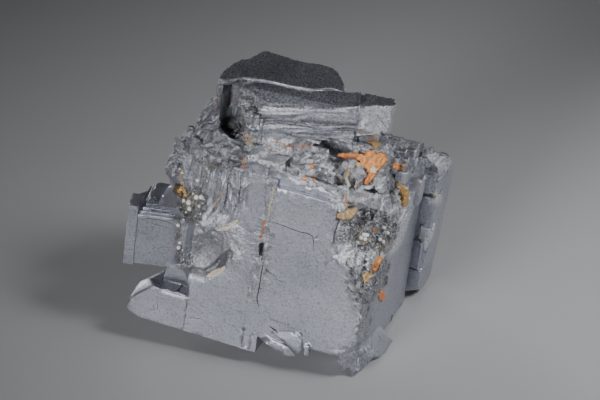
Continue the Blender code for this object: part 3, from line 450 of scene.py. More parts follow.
# Loose grains, as (part or outline on the picture, how many, smallest, largest in mm, finish).
GRAINS = {
    "hollow_brown": ("hollow", 420, 0.18, 0.6, "brown"),
    "hollow_specks": ("hollow", 170, 0.14, 0.36, "white"),
    "hollow_white": ([(336, 226), (346, 227), (357, 224), (360, 230), (350, 233), (338, 233)], 90, 0.18, 0.45,
                     "white"),
    "hollow_white_upper": ([(374, 214), (380, 217), (386, 220), (384, 225), (378, 222), (366, 216)], 40, 0.15,
                           0.4, "white"),
    "hollow_white_right": ([(385, 243), (396, 243), (393, 251), (387, 254)], 40, 0.15, 0.4, "white"),
    "hollow_cream": ([(355, 225), (359, 225), (360, 232), (356, 231)], 20, 0.3, 0.7, "cream"),
    "hollow_copper": ([(373, 226), (379, 226), (378, 232), (373, 236)], 16, 0.3, 0.7, "copper"),
    "hollow_bright": ("hollow", 420, 0.2, 0.8, "lead"),
    "rubble_bright": ("rubble", 140, 0.2, 0.8, "lead"),
    "rubble_brown": ("rubble", 110, 0.15, 0.5, "brown"),
    "rubble_gold": ([(362, 270), (374, 272), (372, 284), (366, 296), (360, 290)], 16, 0.2, 0.5, "gold"),
    "edge_dark": ("grainy_edge", 100, 0.15, 0.4, "dark"),
    "slab_end_bright": ("slab_end", 90, 0.3, 0.9, "lead"),
    "slab_end_brown": ([(240, 100), (252, 92), (256, 110), (252, 126), (240, 128)], 120, 0.15, 0.5, "brown"),
    "slab_end_cream": ([(241, 96), (250, 92), (254, 106), (250, 122), (240, 130)], 26, 0.2, 0.5, "cream"),
    "crumbs_cream": ([(244, 132), (253, 133), (257, 141), (252, 148), (245, 143)], 60, 0.2, 0.6, "cream"),
    "crumbs_brown": ([(242, 130), (256, 131), (258, 144), (252, 150), (243, 146)], 90, 0.15, 0.5, "brown"),
    "crumbs_copper": ([(243, 132), (250, 133), (252, 145), (246, 144)], 26, 0.25, 0.6, "copper"),
    "upper_left_brown": ([(204, 163), (212, 160), (228, 161), (230, 167), (216, 170), (205, 170)], 260, 0.15,
                         0.5, "brown"),
    "upper_left_white": ([(222, 162), (228, 162), (229, 167), (222, 168)], 14, 0.2, 0.45, "white"),
    "strip_brown": ([(201, 170), (207, 170), (206, 188), (202, 190)], 110, 0.15, 0.5, "brown"),
    "left_grit_brown": ("left_grit", 260, 0.2, 0.6, "brown"),
    "left_grit_lead": ("left_grit", 160, 0.25, 0.9, "lead"),
    "left_grit_white": ("left_grit", 26, 0.15, 0.5, "white"),
    "left_foot_lead": ("left_crumbs", 120, 0.2, 0.8, "lead"),
    "left_foot_white": ("left_crumbs", 22, 0.15, 0.4, "white"),
    "block_top_lead": ([(147, 199), (156, 196), (160, 206), (170, 212), (158, 213), (147, 211)], 160,
                       0.2, 0.7, "lead"),
    "seam_grit": ([(263, 184), (273, 184), (270, 224), (258, 238), (262, 210)], 90, 0.12, 0.3, "dark"),
    "seam_column": ([(250, 262), (259, 262), (258, 290), (254, 298), (249, 292)], 40, 0.12, 0.35, "dark"),
    "curtain_groove": ([(231, 172), (233, 172), (230, 193), (225, 206), (219, 218), (217, 217), (224, 203),
                        (229, 190)], 150, 0.12, 0.35, "dark"),
    "curtain_groove_right": ([(241, 184), (243, 184), (240, 202), (235, 211), (233, 210), (238, 200)], 90,
                             0.12, 0.35, "dark"),
    "curtain_crumbs": ([(241, 157), (246, 157), (248, 170), (243, 171)], 40, 0.2, 0.55, "copper"),
    "curtain_crumbs_cream": ([(240, 157), (246, 157), (246, 166), (241, 164)], 24, 0.2, 0.5, "cream"),
    "middle_dark": ([(270, 146), (330, 150), (336, 184), (300, 178), (276, 166)], 120, 0.15, 0.5, "dark"),
    "middle_copper": ([(262, 143), (270, 143), (272, 148), (264, 148)], 10, 0.2, 0.5, "copper"),
    "wedge_shadow": ([(343, 219), (353, 218), (352, 226), (344, 226)], 60, 0.2, 0.5, "brown"),
    "rear_cream": ([(431, 194), (436, 193), (439, 197), (434, 200)], 16, 0.3, 0.7, "cream"),
    "rear_cream_low": ([(416.5, 228), (419, 229), (419, 240), (416, 244)], 14, 0.25, 0.6, "cream"),
    "wall_copper": ([(230, 98), (232.5, 98), (232.5, 101), (230, 101)], 5, 0.3, 0.6, "copper"),
    "wall_copper_left": ([(214, 100), (216, 100), (216, 103), (214, 103)], 4, 0.3, 0.6, "copper"),
    "block_copper": ([(171.5, 245.5), (174, 245.5), (174, 248), (171.5, 248)], 5, 0.25, 0.5, "copper"),
    "foot_copper": ([(183.5, 265), (185.5, 265), (185.5, 268), (183.5, 268)], 4, 0.25, 0.5, "copper"),
    "low_flake_gold": ([(133, 296), (136, 297), (137, 301), (134, 301)], 8, 0.3, 0.6, "gold"),
    "block_foot_copper": ([(360, 130), (364, 129), (365, 133), (361, 134)], 6, 0.25, 0.6, "copper"),
}

# The larger masses of chalcopyrite, each with its finish.
GOLD_MASSES = {"chalcopyrite_star": "copper", "chalcopyrite_wedge": "tan", "chalcopyrite_shoulder": "gold",
               "chalcopyrite_left": "tarnished", "chalcopyrite_edge": "copper"}

# Finishes of the small pieces: (slot, material, dark, light, metallic, roughness, bump).
CRUMB_FINISHES = {
    "lead": ("galena", "lead_crumbs", (0.20, 0.21, 0.24), (0.62, 0.64, 0.70), 0.9, 0.36, 0.3),
    "dark": ("galena", "dark_crumbs", (0.03, 0.03, 0.035), (0.22, 0.22, 0.25), 0.7, 0.5, 0.3),
    # A light finish that paints the highlight along the upper slab's edge.
    "bright": ("galena", "painted_highlight_edge", (0.50, 0.52, 0.56), (0.85, 0.87, 0.93), 0.9, 0.4, 0.3),
    "brown": ("calcite", "brown_grit", (0.055, 0.050, 0.042), (0.36, 0.33, 0.27), 0.2, 0.5, 0.4),
    "tarnished": ("chalcopyrite", "tarnished_gold", (0.04, 0.035, 0.03), (0.24, 0.18, 0.10), 0.3, 0.45, 0.5),
    # A lighter copy of the lead finish, a painted highlight for the teeth.
    "painted_lit_lead": ("galena", "painted_lit_lead_grey", (0.40, 0.41, 0.46), (0.86, 0.88, 0.93), 0.9, 0.36, 0.4),
    "cream_dull": ("calcite", "dull_cream", (0.30, 0.26, 0.19), (0.62, 0.57, 0.46), 0.1, 0.45, 0.4),
    "white": ("calcite", "white_beads", (0.80, 0.82, 0.81), (0.97, 0.98, 0.97), 0.0, 0.42, 0.2),
    "cream": ("chalcopyrite", "cream_crust", (0.58, 0.46, 0.31), (0.90, 0.80, 0.62), 0.1, 0.45, 0.4),
    "tan": ("chalcopyrite", "tan_crust", (0.34, 0.22, 0.11), (0.70, 0.51, 0.28), 0.2, 0.45, 0.4),
    "gold": ("chalcopyrite", "gold_crust", (0.50, 0.27, 0.08), (0.86, 0.58, 0.27), 0.3, 0.42, 0.5),
    "copper": ("chalcopyrite", "copper_orange", (0.58, 0.19, 0.055), (0.90, 0.40, 0.15), 0.3, 0.42, 0.5),
}

# Colours of the crystal, dark and light where a speckle runs between two.
CLEAN = ((0.385, 0.40, 0.465), (0.50, 0.515, 0.585))
GLINT = (0.64, 0.66, 0.72)
DOT = (0.20, 0.205, 0.235)
HACKLE = ((0.22, 0.23, 0.27), (0.66, 0.68, 0.745))
HACKLE_GLINT = (0.86, 0.88, 0.93)
HACKLE_DOT = (0.07, 0.07, 0.085)
# Dark sand on the tops, partly the crust's own colour and partly painted shade on faces turned up.
SAND_AND_TOP_SHADE = ((0.060, 0.064, 0.078), (0.24, 0.25, 0.29))
# Painted highlight for facets that catch the light.
PAINTED_HIGHLIGHT = ((0.62, 0.64, 0.70), (0.92, 0.94, 0.97))
# Grime and painted shade for clefts, cavities, crack walls and hollows.
DIRT_AND_SHADE = ((0.030, 0.030, 0.033), (0.15, 0.15, 0.16))
BROWN = ((0.07, 0.055, 0.04), (0.30, 0.26, 0.20))
PIT = (0.10, 0.10, 0.11)
BUMP_DISTANCE = 0.0004

# Lights, as (place, target, size in m, power in W, spread in degrees). Those of the hidden sides fall on the
# specimen alone, so that the floor keeps its shade.
LIGHTS = {
    "front_left": ((-0.55, -0.95, 0.35), (0, 0, 0.05), (0.4, 0.3), 0.375, 28),
    "right": ((0.45, -0.25, 0.55), (0.16, 0, 0), (0.25, 0.25), 0.33, 45),
    "back_left": ((-0.4, 0.75, 0.42), (0, 0, 0.05), (0.4, 0.3), 0.035, 20),
    "low_left": ((-0.6, 0.8, 0.14), (0, 0, 0.05), (0.4, 0.2), 0.13, 40),
    "low_right": ((0.7, 0.7, 0.12), (0, 0, 0.05), (0.3, 0.2), 0.1, 40),
}
HIDDEN_SIDE_LIGHTS = ("low_left", "low_right")
WORLD_COLOUR = (0.54, 0.57, 0.62, 1)
WORLD_STRENGTH = 0.03
FLOOR_COLOUR = (0.46, 0.465, 0.475, 1)
FLOOR_SIZE = 6


# ---------------------------------------------------------------- helpers on objects

def deselect():
    for thing in bpy.context.selected_objects:
        thing.select_set(False)


def only(piece):
    deselect()
    piece.select_set(True)
    bpy.context.view_layer.objects.active = piece


def in_scene(name, data):
    made = bpy.data.objects.new(name, data)
    bpy.context.scene.collection.objects.link(made)
    return made


def object_of(name, points, faces):
    mesh = bpy.data.meshes.new(name)
    mesh.from_pydata([tuple(point) for point in points], [], faces)
    mesh.update()
    return in_scene(name, mesh)


def opened(piece):
    """The mesh of a piece, open for shaping."""
    shape = bmesh.new()
    shape.from_mesh(piece.data)
    return shape


def closed(shape, piece):
    """Gives a shape back to its piece."""
    shape.to_mesh(piece.data)
    shape.free()
    return piece


def faced_outward(piece):
    shape = opened(piece)
    bmesh.ops.recalc_face_normals(shape, faces=shape.faces)
    return closed(shape, piece)


def node_copy(name, node_name):
    """Merged copy of a CAD solid, brought back to the crystal's axes in millimetres."""
    node = frame["nodes"][node_name]
    shape = opened(node)
    shape.transform(LAID.inverted() @ node.matrix_world)
    bmesh.ops.remove_doubles(shape, verts=shape.verts, dist=SAME_CORNER)
    bmesh.ops.dissolve_degenerate(shape, edges=shape.edges, dist=SAME_CORNER)
    return closed(shape, in_scene(name, bpy.data.meshes.new(name)))


def lay_down(piece, finish, replaced=None, smooth_angle=None):
    """Last step of every piece: the crystal's lie, finish, shading and what it stands for."""
    slot, material = finish
    piece.data.transform(LAID)
    for vertex in piece.data.vertices:
        vertex.co.z = max(vertex.co.z, 0)
    piece.data.materials.clear()
    piece.data.materials.append(material)
    if smooth_angle:
        only(piece)
        bpy.ops.object.shade_smooth_by_angle(angle=math.radians(smooth_angle))
    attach(piece, "root")
    if replaced:
        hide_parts(replaced)


def apply_modifiers(piece):
    only(piece)
    for modifier in list(piece.modifiers):
        bpy.ops.object.modifier_apply(modifier=modifier.name)


def carve(piece, cutter):
    step = piece.modifiers.new("carve", "BOOLEAN")
    step.operation = "DIFFERENCE"
    step.solver = "EXACT"
    step.use_self = True
    step.object = cutter
    apply_modifiers(piece)
    bpy.data.objects.remove(cutter)


# ---------------------------------------------------------------- the picture and the surface under it

def picture_places(points):
    """Where crystal points, in millimetres, fall on the picture."""
    seen = (points - np.array(EYE_SEEN)) @ np.array(EYE_AXES)
    depth = -seen[:, 2]
    return np.column_stack([PICTURE_WIDTH / 2 + FOCAL * seen[:, 0] / depth,
                            PICTURE_HEIGHT / 2 - FOCAL * seen[:, 1] / depth])


def sight_line(x, y):
    looking = Vector(((x - PICTURE_WIDTH / 2) / FOCAL, (PICTURE_HEIGHT / 2 - y) / FOCAL, -1))
    return (EYE_AXES @ looking).normalized()


class Sight:
    """Surface of some pieces, asked by a place on the picture."""

    def __init__(self, *pieces):
        points = []
        faces = []
        for piece in pieces:
            start = len(points)
            points.extend(vertex.co.copy() for vertex in piece.data.vertices)
            faces.extend([corner + start for corner in polygon.vertices] for polygon in piece.data.polygons)
        self.tree = BVHTree.FromPolygons(points, faces)

    def at(self, x, y):
        """Point and outward direction of the surface at a place, or None off the specimen."""
        looking = sight_line(x, y)
        point, normal, _, _ = self.tree.ray_cast(EYE_SEEN, looking)
        if point is None:
            return None
        return point, (normal if normal.dot(looking) < 0 else -normal)

    def along(self, places):
        """Points and outward directions at some places, without those off the specimen."""
        found = [self.at(x, y) for x, y in places]
        return [entry for entry in found if entry]

    def sees(self, point):
        reach = point - EYE_SEEN
        found, _, _, distance = self.tree.ray_cast(EYE_SEEN, reach.normalized())
        return found is not None and distance > reach.length - NEAR_MISS


def share_inside(places, outline, soft):
    """1 inside an outline on the picture, falling to 0 over a soft border around it."""
    corners = np.array(outline, float)
    nexts = np.roll(corners, -1, axis=0)
    crossings = np.zeros(len(places), bool)
    nearest = np.full(len(places), np.inf)
    for (x0, y0), (x1, y1) in zip(corners, nexts):
        level = (y0 > places[:, 1]) != (y1 > places[:, 1])
        if y1 != y0:
            crossing_x = x0 + (places[:, 1] - y0) / (y1 - y0) * (x1 - x0)
            crossings ^= level & (places[:, 0] < crossing_x)
        side = np.array([x1 - x0, y1 - y0])
        start = places - (x0, y0)
        along = np.clip((start @ side) / (side @ side), 0, 1)
        nearest = np.minimum(nearest, np.linalg.norm(start - along[:, None] * side, axis=1))
    return np.where(crossings, 1.0, np.clip(1 - nearest / soft, 0, 1))


def ramp(value, low, high):
    return min(1.0, max(0.0, (value - low) / (high - low)))


def ramps(values, low, high):
    return np.clip((values - low) / (high - low), 0, 1)


def in_band(value, low, high, soft):
    return ramp(value, low - soft, low + soft) * (1 - ramp(value, high - soft, high + soft))


def hidden_hackle(point):
    """How broken the crystal is where the camera does not see it: back, top and right-hand ledges."""
    across, deep, up = point
    back = ramp(deep, 40, 46)
    behind = in_band(up, 44, 76, 2) * ramp(deep, 20, 26)
    left = in_band(across, -50, -14, 2) * in_band(up, 42, 76, 3) * ramp(deep, 6, 12)
    under = ramp(-up, 3, 5) * 0.6
    return max(back, behind, left, under)


# ---------------------------------------------------------------- relief of broken crystal

def stretched(point, along, length, width):
    reach = point.dot(along)
    return along * (reach / length) + (point - along * reach) / width


def pleats(point, along, length, width):
    """Sharp-crested ridges that run along a direction."""
    wander = noise.noise(point * 0.11) * 1.1
    value = noise.noise(stretched(point, along, length, width) + Vector((wander, 3.1, wander)))
    return max(-1.0, 0.75 - 3.4 * abs(value))


def waves(point, along, length, width):
    """Soft undulation along a direction."""
    return noise.noise(stretched(point, along, length, width) + Vector((5.3, 9.2, 1.7))) * 1.4


def scallops(point, along, length, width):
    """Tilted facets that meet in sharp crests, the way a brittle crystal chips."""
    place = stretched(point, along, length, width)
    lowest = 1.0
    distances, middles = noise.voronoi(place)
    for distance, middle in zip(distances[:3], middles[:3]):
        tilt = noise.cell_vector(middle * 31.7) - Vector((0.5, 0.5, 0.5))
        value = tilt.x * 1.2 + 2.6 * tilt.dot(place - middle) + 0.9 * distance * distance
        lowest = min(lowest, value)
    return max(-1.0, lowest)


def sunk(point, along, length, width):
    """A hole pressed into the crystal."""
    return -1.0


KINDS = {"pleats": pleats, "waves": waves, "scallops": scallops, "sunk": sunk}


def refine(shape, longest, least, rounds=8):
    """Halves edges until none is longer than longest(middles) allows; edges under least are never asked."""
    bmesh.ops.triangulate(shape, faces=shape.faces)
    for _ in range(rounds):
        edges = [edge for edge in shape.edges if edge.calc_length() > least]
        if not edges:
            break
        middles = np.array([((edge.verts[0].co + edge.verts[1].co) / 2)[:] for edge in edges])
        lengths = np.array([edge.calc_length() for edge in edges])
        long_edges = [edges[number] for number in np.nonzero(lengths > longest(middles))[0]]
        if not long_edges:
            break
        bmesh.ops.subdivide_edges(shape, edges=long_edges, cuts=1)
        bmesh.ops.triangulate(shape, faces=[face for face in shape.faces if len(face.verts) > 3])


def edge_limits(sight):
    """Finest where the broken parts show, coarser on clean faces, coarsest behind."""

    def longest(middles):
        places = picture_places(middles)
        seen = np.array([sight.sees(Vector(middle)) for middle in middles])
        limits = np.where(seen, FACE_EDGE, BACK_EDGE)
        for part in PARTS.values():
            inside = seen & (share_inside(places, part["outline"], 2.0) > 0.05)
            limits[inside] = np.minimum(limits[inside], FINEST_EDGE if "finest" in part else FINE_EDGE)
        slab_top = (middles[:, 2] > SLAB_TOP) & seen
        limits[slab_top] = np.minimum(limits[slab_top], SLAB_TOP_EDGE)
        return limits

    return longest


def settled(points, edges, shares, quiet):
    """Evens out the parts that broke in soft forms."""
    count = np.zeros(len(points))
    np.add.at(count, edges.ravel(), 1)
    rounds = {name: part["settled"] for name, part in PARTS.items() if "settled" in part}
    for turn in range(max(rounds.values())):
        pull = np.zeros(len(points))
        for name, turns in rounds.items():
            if turn < turns:
                pull = np.maximum(pull, shares[name])
        sums = np.zeros_like(points)
        np.add.at(sums, edges[:, 0], points[edges[:, 1]])
        np.add.at(sums, edges[:, 1], points[edges[:, 0]])
        points = points + 0.5 * (pull * quiet)[:, None] * (sums / count[:, None] - points)
    return points


def eased(points, shares):
    """Brings the shallow bowl and the right-hand end of the upper slab to their softer forms."""
    points[:, 1] -= 0.6 * shares["bowl"] * np.maximum(points[:, 1], 0)
    turn = math.radians(UPPER_SLAB_TURN)
    along = points[:, 0] * math.cos(turn) + points[:, 1] * math.sin(turn)
    back = points[:, 1] * math.cos(turn) - points[:, 0] * math.sin(turn)
    high = ramps(points[:, 2], 79, 81)
    points[:, 2] += 1.5 * high * ramps(along, 15, 23.6) * (along < 24.2) * (1 - ramps(back, 18, 20.5))
    points[:, 2] -= 2.8 * high * ramps(along, 15.5, 22) * ramps(back, 18.5, 22) * (along < 25.5)
    return points


def mark_ribbon(points, normals, width, depth):
    """Closed strip that follows a path on the surface and reaches a depth below it."""
    proud = 0.5
    rings = []
    for number, (point, normal) in enumerate(zip(points, normals)):
        before = points[max(number - 1, 0)]
        after = points[min(number + 1, len(points) - 1)]
        side = (after - before).normalized().cross(normal).normalized() * width / 2
        end = number in (0, len(points) - 1)
        side_up = side * (0.35 if end else 1.0)
        side_low = side_up * 0.4
        low = point - normal * depth * (0.4 if end else 1.0)
        high = point + normal * proud
        rings.append((high - side_up, high + side_up, low + side_low, low - side_low))
    corners = [corner for ring in rings for corner in ring]
    faces = [(0, 1, 2, 3), tuple(4 * (len(rings) - 1) + corner for corner in (3, 2, 1, 0))]
    return corners, faces + tube_faces(4, len(rings))


def tube_faces(around, rings):
    """Faces between rings of corners that follow one another."""
    faces = []
    for ring in range(rings - 1):
        start = around * ring
        for corner in range(around):
            after = (corner + 1) % around
            faces.append((start + corner, start + around + corner, start + around + after, start + after))
    return faces


def cut_marks(crystal, sight):
    """Cuts the cracks and step lines, and gives back points along them that stay undisturbed."""
    all_corners = []
    all_faces = []
    kept = []
    for places, width, depth in MARKS.values():
        found = sight.along(places)
        if len(found) < 2:
            continue
        points = [point for point, _ in found]
        corners, faces = mark_ribbon(points, [normal for _, normal in found], width, depth)
        start = len(all_corners)
        all_corners.extend(corners)
        all_faces.extend(tuple(corner + start for corner in face) for face in faces)
        for first, second in zip(points, points[1:]):
            count = max(1, int((second - first).length / 0.5))
            kept.extend(first.lerp(second, step / count) for step in range(count + 1))
        kept.extend(point - normal * depth for point, normal in found)
    carve(crystal, faced_outward(object_of("marks", all_corners, all_faces)))
    return kept


def cleaved(point, pull, step):
    """Where a point goes when the crystal breaks along its own cube planes."""
    drift = 1.3 * noise.noise(point * 0.11 + Vector((4, 9, 2)))
    goes = point.copy()
    for axis, stretch in enumerate((1.0, 0.8, 1.25)):
        pace = step * stretch
        plane = (round(point[axis] / pace + drift) - drift) * pace
        goes[axis] += pull * (plane - point[axis])
    return goes


def cleaving(shares, number, hidden):
    """How far and how coarsely the crystal is stepped at a point."""
    pull, step = HIDDEN_CLEAVED[0] * hidden, HIDDEN_CLEAVED[1]
    for name, share in shares.items():
        strength, coarse = PARTS[name].get("cleaved", (0, 0))
        if strength * share[number] > pull:
            pull, step = strength * share[number], coarse
    return pull, step


def tree_of(points):
    tree = KDTree(len(points))
    for number, point in enumerate(points):
        tree.insert(point, number)
    tree.balance()
    return tree


def part_relief(point, shares, number):
    """Height and look that the parts on the picture give a point, and how far they cover it."""
    total = height = 0.0
    look = dict.fromkeys(LOOKS, 0.0)
    for name, share in shares.items():
        inside = share[number]
        if inside <= 0.02:
            continue
        total = max(total, inside)
        for kind, along, length, width, tall in PARTS[name]["reliefs"]:
            height += inside * tall * KINDS[kind](point, along, length, width)
        for quality in LOOKS:
            look[quality] = max(look[quality], inside * PARTS[name].get(quality, 0))
    return total, height, look


def crystal_relief(crystal, kept, whole):
    """Refines the crystal and breaks its surface part by part, with attributes for the finish."""
    sight = Sight(crystal)
    shape = opened(crystal)
    bmesh.ops.remove_doubles(shape, verts=shape.verts, dist=SAME_CORNER / 2)
    refine(shape, edge_limits(sight), FINEST_EDGE)
    bmesh.ops.dissolve_degenerate(shape, edges=shape.edges, dist=SLIVER)
    bmesh.ops.triangulate(shape, faces=shape.faces)
    points = np.array([vertex.co[:] for vertex in shape.verts])
    places = picture_places(points)
    seen = np.array([1.0 if sight.sees(vertex.co) else 0.0 for vertex in shape.verts])
    shares = {name: share_inside(places, part["outline"], 3.0) * seen for name, part in PARTS.items()}
    for name, part in PARTS.items():
        if "inside" in part:
            shares[part["inside"]] = shares[part["inside"]] * (1 - shares[name])
    marks = tree_of(kept)
    shown = tree_of([Vector(point) for point, sees in zip(points, seen) if sees])
    quiet = np.array([0.0 if marks.find(vertex.co)[2] < MARK_CLEAR else 1.0 for vertex in shape.verts])
    shape.verts.index_update()
    edges = np.array([[corner.index for corner in edge.verts] for edge in shape.edges])
    points = eased(settled(points, edges, shares, quiet), shares)
    for vertex, point in zip(shape.verts, points):
        vertex.co = point
    shape.normal_update()
    zones = []
    deep = []
    moves = []
    for number, vertex in enumerate(shape.verts):
        point = vertex.co
        total, height, look = part_relief(point, shares, number)
        hidden = hidden_hackle(point) * (1 - total) * ramp(shown.find(point)[2], 1.0, 5.0)
        hidden *= ramp(noise.noise(point * 0.05 + Vector((2, 6, 5))), -0.28, -0.08)
        if hidden > 0.02:
            height += hidden * 0.35 * scallops(point, UPWARD, 7.0, 5.5)
            height += hidden * 0.35 * pleats(point, RISING, 14, 4.6)
            look["broken"] = max(look["broken"], hidden * 0.8)
        # Faces turned up get the dark sand, partly the crust's own colour and partly painted shade on the
        # tops.
        top = ramp(vertex.normal.z, 0.62, 0.86)
        sand_and_top_shade = max(top * ramp(point.z, 74, 77),
                    top * 0.35 * ramp(point.y, 26, 30) * ramp(point.z, 50, 54), look["sand"])
        fine = noise.noise(point * 1.1 + Vector((7, 3, 1)))
        height += 0.05 * noise.noise(point * 0.14) + sand_and_top_shade * fine * 0.14
        if any(edge.calc_face_angle(0) > 0.5 for edge in vertex.link_edges):
            chip = abs(noise.noise(point * 0.7 + Vector((3, 1, 8))))
            height -= 0.08 + 0.45 * chip * chip + 0.08 * fine
        # Hollows of the relief get painted shade, and so do crack walls below the first surface; the last
        # look is a painted highlight.
        valley = ramp(-height, 0.15, 0.8) * total
        deep.append(1.0 if quiet[number] == 0 and whole.tree.find_nearest(point)[3] > 0.06 else 0.0)
        zones.append((sand_and_top_shade, look["broken"], max(look["grime_and_shade"], valley * 0.6), look["stain"],
                      look["painted_highlight"]))
        goes = point + vertex.normal * (height * quiet[number])
        pull, step = cleaving(shares, number, hidden)
        moves.append(cleaved(goes, pull * quiet[number], step) if pull > 0.02 else goes)
    for vertex, goes in zip(shape.verts, moves):
        vertex.co = goes
    shape.verts.index_update()
    for edge in shape.edges:
        walls = {any(deep[corner.index] for corner in face.verts) for face in edge.link_faces}
        edge.smooth = len(walls) < 2
    closed(shape, crystal)
    record_zones(crystal, zones, deep)


def record_zones(crystal, zones, deep):
    """Attributes that the finish reads; the walls of cracks get painted shade from edge to edge."""
    mesh = crystal.data
    corners = np.empty(len(mesh.loops), dtype=np.int32)
    mesh.loops.foreach_get("vertex_index", corners)
    sand_and_top_shade, broken, grime_and_shade, stain, bright = np.array(zones)[corners].T
    # Faces that touch a crack wall are all painted shade.
    dark = np.array(deep)[corners].reshape(-1, 3).max(axis=1).repeat(3)
    whole = np.ones(len(corners))
    for name, parts in (("zones", (sand_and_top_shade, broken, np.maximum(grime_and_shade, dark), whole)),
                        # The second attribute holds the brown stain and the painted highlight.
                        ("stains_and_highlights", (stain, bright * (1 - dark), 0 * whole, whole))):
        made = mesh.color_attributes.new(name, "FLOAT_COLOR", "CORNER")
        made.data.foreach_set("color", np.stack(parts, axis=1).ravel())


# ---------------------------------------------------------------- finishes

def add(tree, kind, **values):
    made = tree.nodes.new(kind)
    for name, value in values.items():
        setattr(made, name, value)
    return made


def feed(tree, value, into):
    """A link gives an input its value, or a plain number or colour is set on it."""
    if isinstance(value, bpy.types.NodeSocket):
        tree.links.new(value, into)
    else:
        into.default_value = (*value, 1) if isinstance(value, tuple) else value


def scaled_noise(tree, vector, scale, detail, rough):
    made = add(tree, "ShaderNodeTexNoise")
    for key, value in (("Scale", scale), ("Detail", detail), ("Roughness", rough), ("Vector", vector)):
        feed(tree, value, made.inputs[key])
    return made.outputs["Fac"]


def map_range(tree, value, low, high, to_low, to_high):
    made = add(tree, "ShaderNodeMapRange")
    for key, number in (("From Min", low), ("From Max", high), ("To Min", to_low), ("To Max", to_high),
                        ("Value", value)):
        feed(tree, number, made.inputs[key])
    return made.outputs["Result"]


def mix_colour(tree, factor, first, second):
    made = add(tree, "ShaderNodeMix", data_type="RGBA")
    for number, value in ((0, factor), (6, first), (7, second)):
        feed(tree, value, made.inputs[number])
    return made.outputs[2]


def math_of(tree, operation, first, second, clamp=False):
    made = add(tree, "ShaderNodeMath", operation=operation, use_clamp=clamp)
    feed(tree, first, made.inputs[0])
    feed(tree, second, made.inputs[1])
    return made.outputs["Value"]


def times(tree, first, second, clamp=False):
    return math_of(tree, "MULTIPLY", first, second, clamp)


def grain_group():
    """Fine grain of a broken mineral surface: speckle, grime and relief heights."""
    group = bpy.data.node_groups.new("mineral_grain", "ShaderNodeTree")
    group.interface.new_socket(name="Vector", in_out="INPUT", socket_type="NodeSocketVector")
    size = group.interface.new_socket(name="Size", in_out="INPUT", socket_type="NodeSocketFloat")
    size.default_value = 1.0
    inside = add(group, "NodeGroupInput")
    scale = add(group, "ShaderNodeVectorMath", operation="SCALE")
    feed(group, inside.outputs["Vector"], scale.inputs[0])
    feed(group, inside.outputs["Size"], scale.inputs["Scale"])
    vector = scale.outputs["Vector"]
    smudge = scaled_noise(group, vector, 60, 4, 0.65)
    pits = add(group, "ShaderNodeTexVoronoi")
    feed(group, 420, pits.inputs["Scale"])
    feed(group, vector, pits.inputs["Vector"])
    pitted = times(group, map_range(group, pits.outputs["Distance"], 0.06, 0.16, 1, 0),
                   map_range(group, smudge, 0.55, 0.66, 0, 1))
    given = {"Speckle": scaled_noise(group, vector, 1500, 2, 0.7), "Smudge": smudge, "Pits": pitted,
             "Height": scaled_noise(group, vector, 700, 5, 0.75)}
    for name in given:
        group.interface.new_socket(name=name, in_out="OUTPUT", socket_type="NodeSocketFloat")
    out = add(group, "NodeGroupOutput")
    for name, value in given.items():
        feed(group, value, out.inputs[name])
    return group


def start_finish(name, group, size=1.0):
    """New material with the grain laid along the crystal's own axes."""
    material = bpy.data.materials.new(name)
    material.use_nodes = True
    tree = material.node_tree
    place = add(tree, "ShaderNodeTexCoord")
    along = add(tree, "ShaderNodeMapping")
    along.inputs["Rotation"].default_value = LIE
    feed(tree, place.outputs["Object"], along.inputs["Vector"])
    grain = add(tree, "ShaderNodeGroup")
    grain.node_tree = group
    feed(tree, size, grain.inputs["Size"])
    feed(tree, along.outputs["Vector"], grain.inputs["Vector"])
    return material, tree, tree.nodes["Principled BSDF"], grain.outputs


def bump_of(tree, shader, height, strength):
    made = add(tree, "ShaderNodeBump")
    for key, value in (("Strength", strength), ("Distance", BUMP_DISTANCE), ("Height", height)):
        feed(tree, value, made.inputs[key])
    feed(tree, made.outputs["Normal"], shader.inputs["Normal"])


def parts_of(tree, layer):
    """Red, green and blue of one of the crystal's attributes."""
    colour = add(tree, "ShaderNodeVertexColor", layer_name=layer)
    parts = add(tree, "ShaderNodeSeparateColor")
    feed(tree, colour.outputs["Color"], parts.inputs["Color"])
    return [parts.outputs[name] for name in ("Red", "Green", "Blue")]


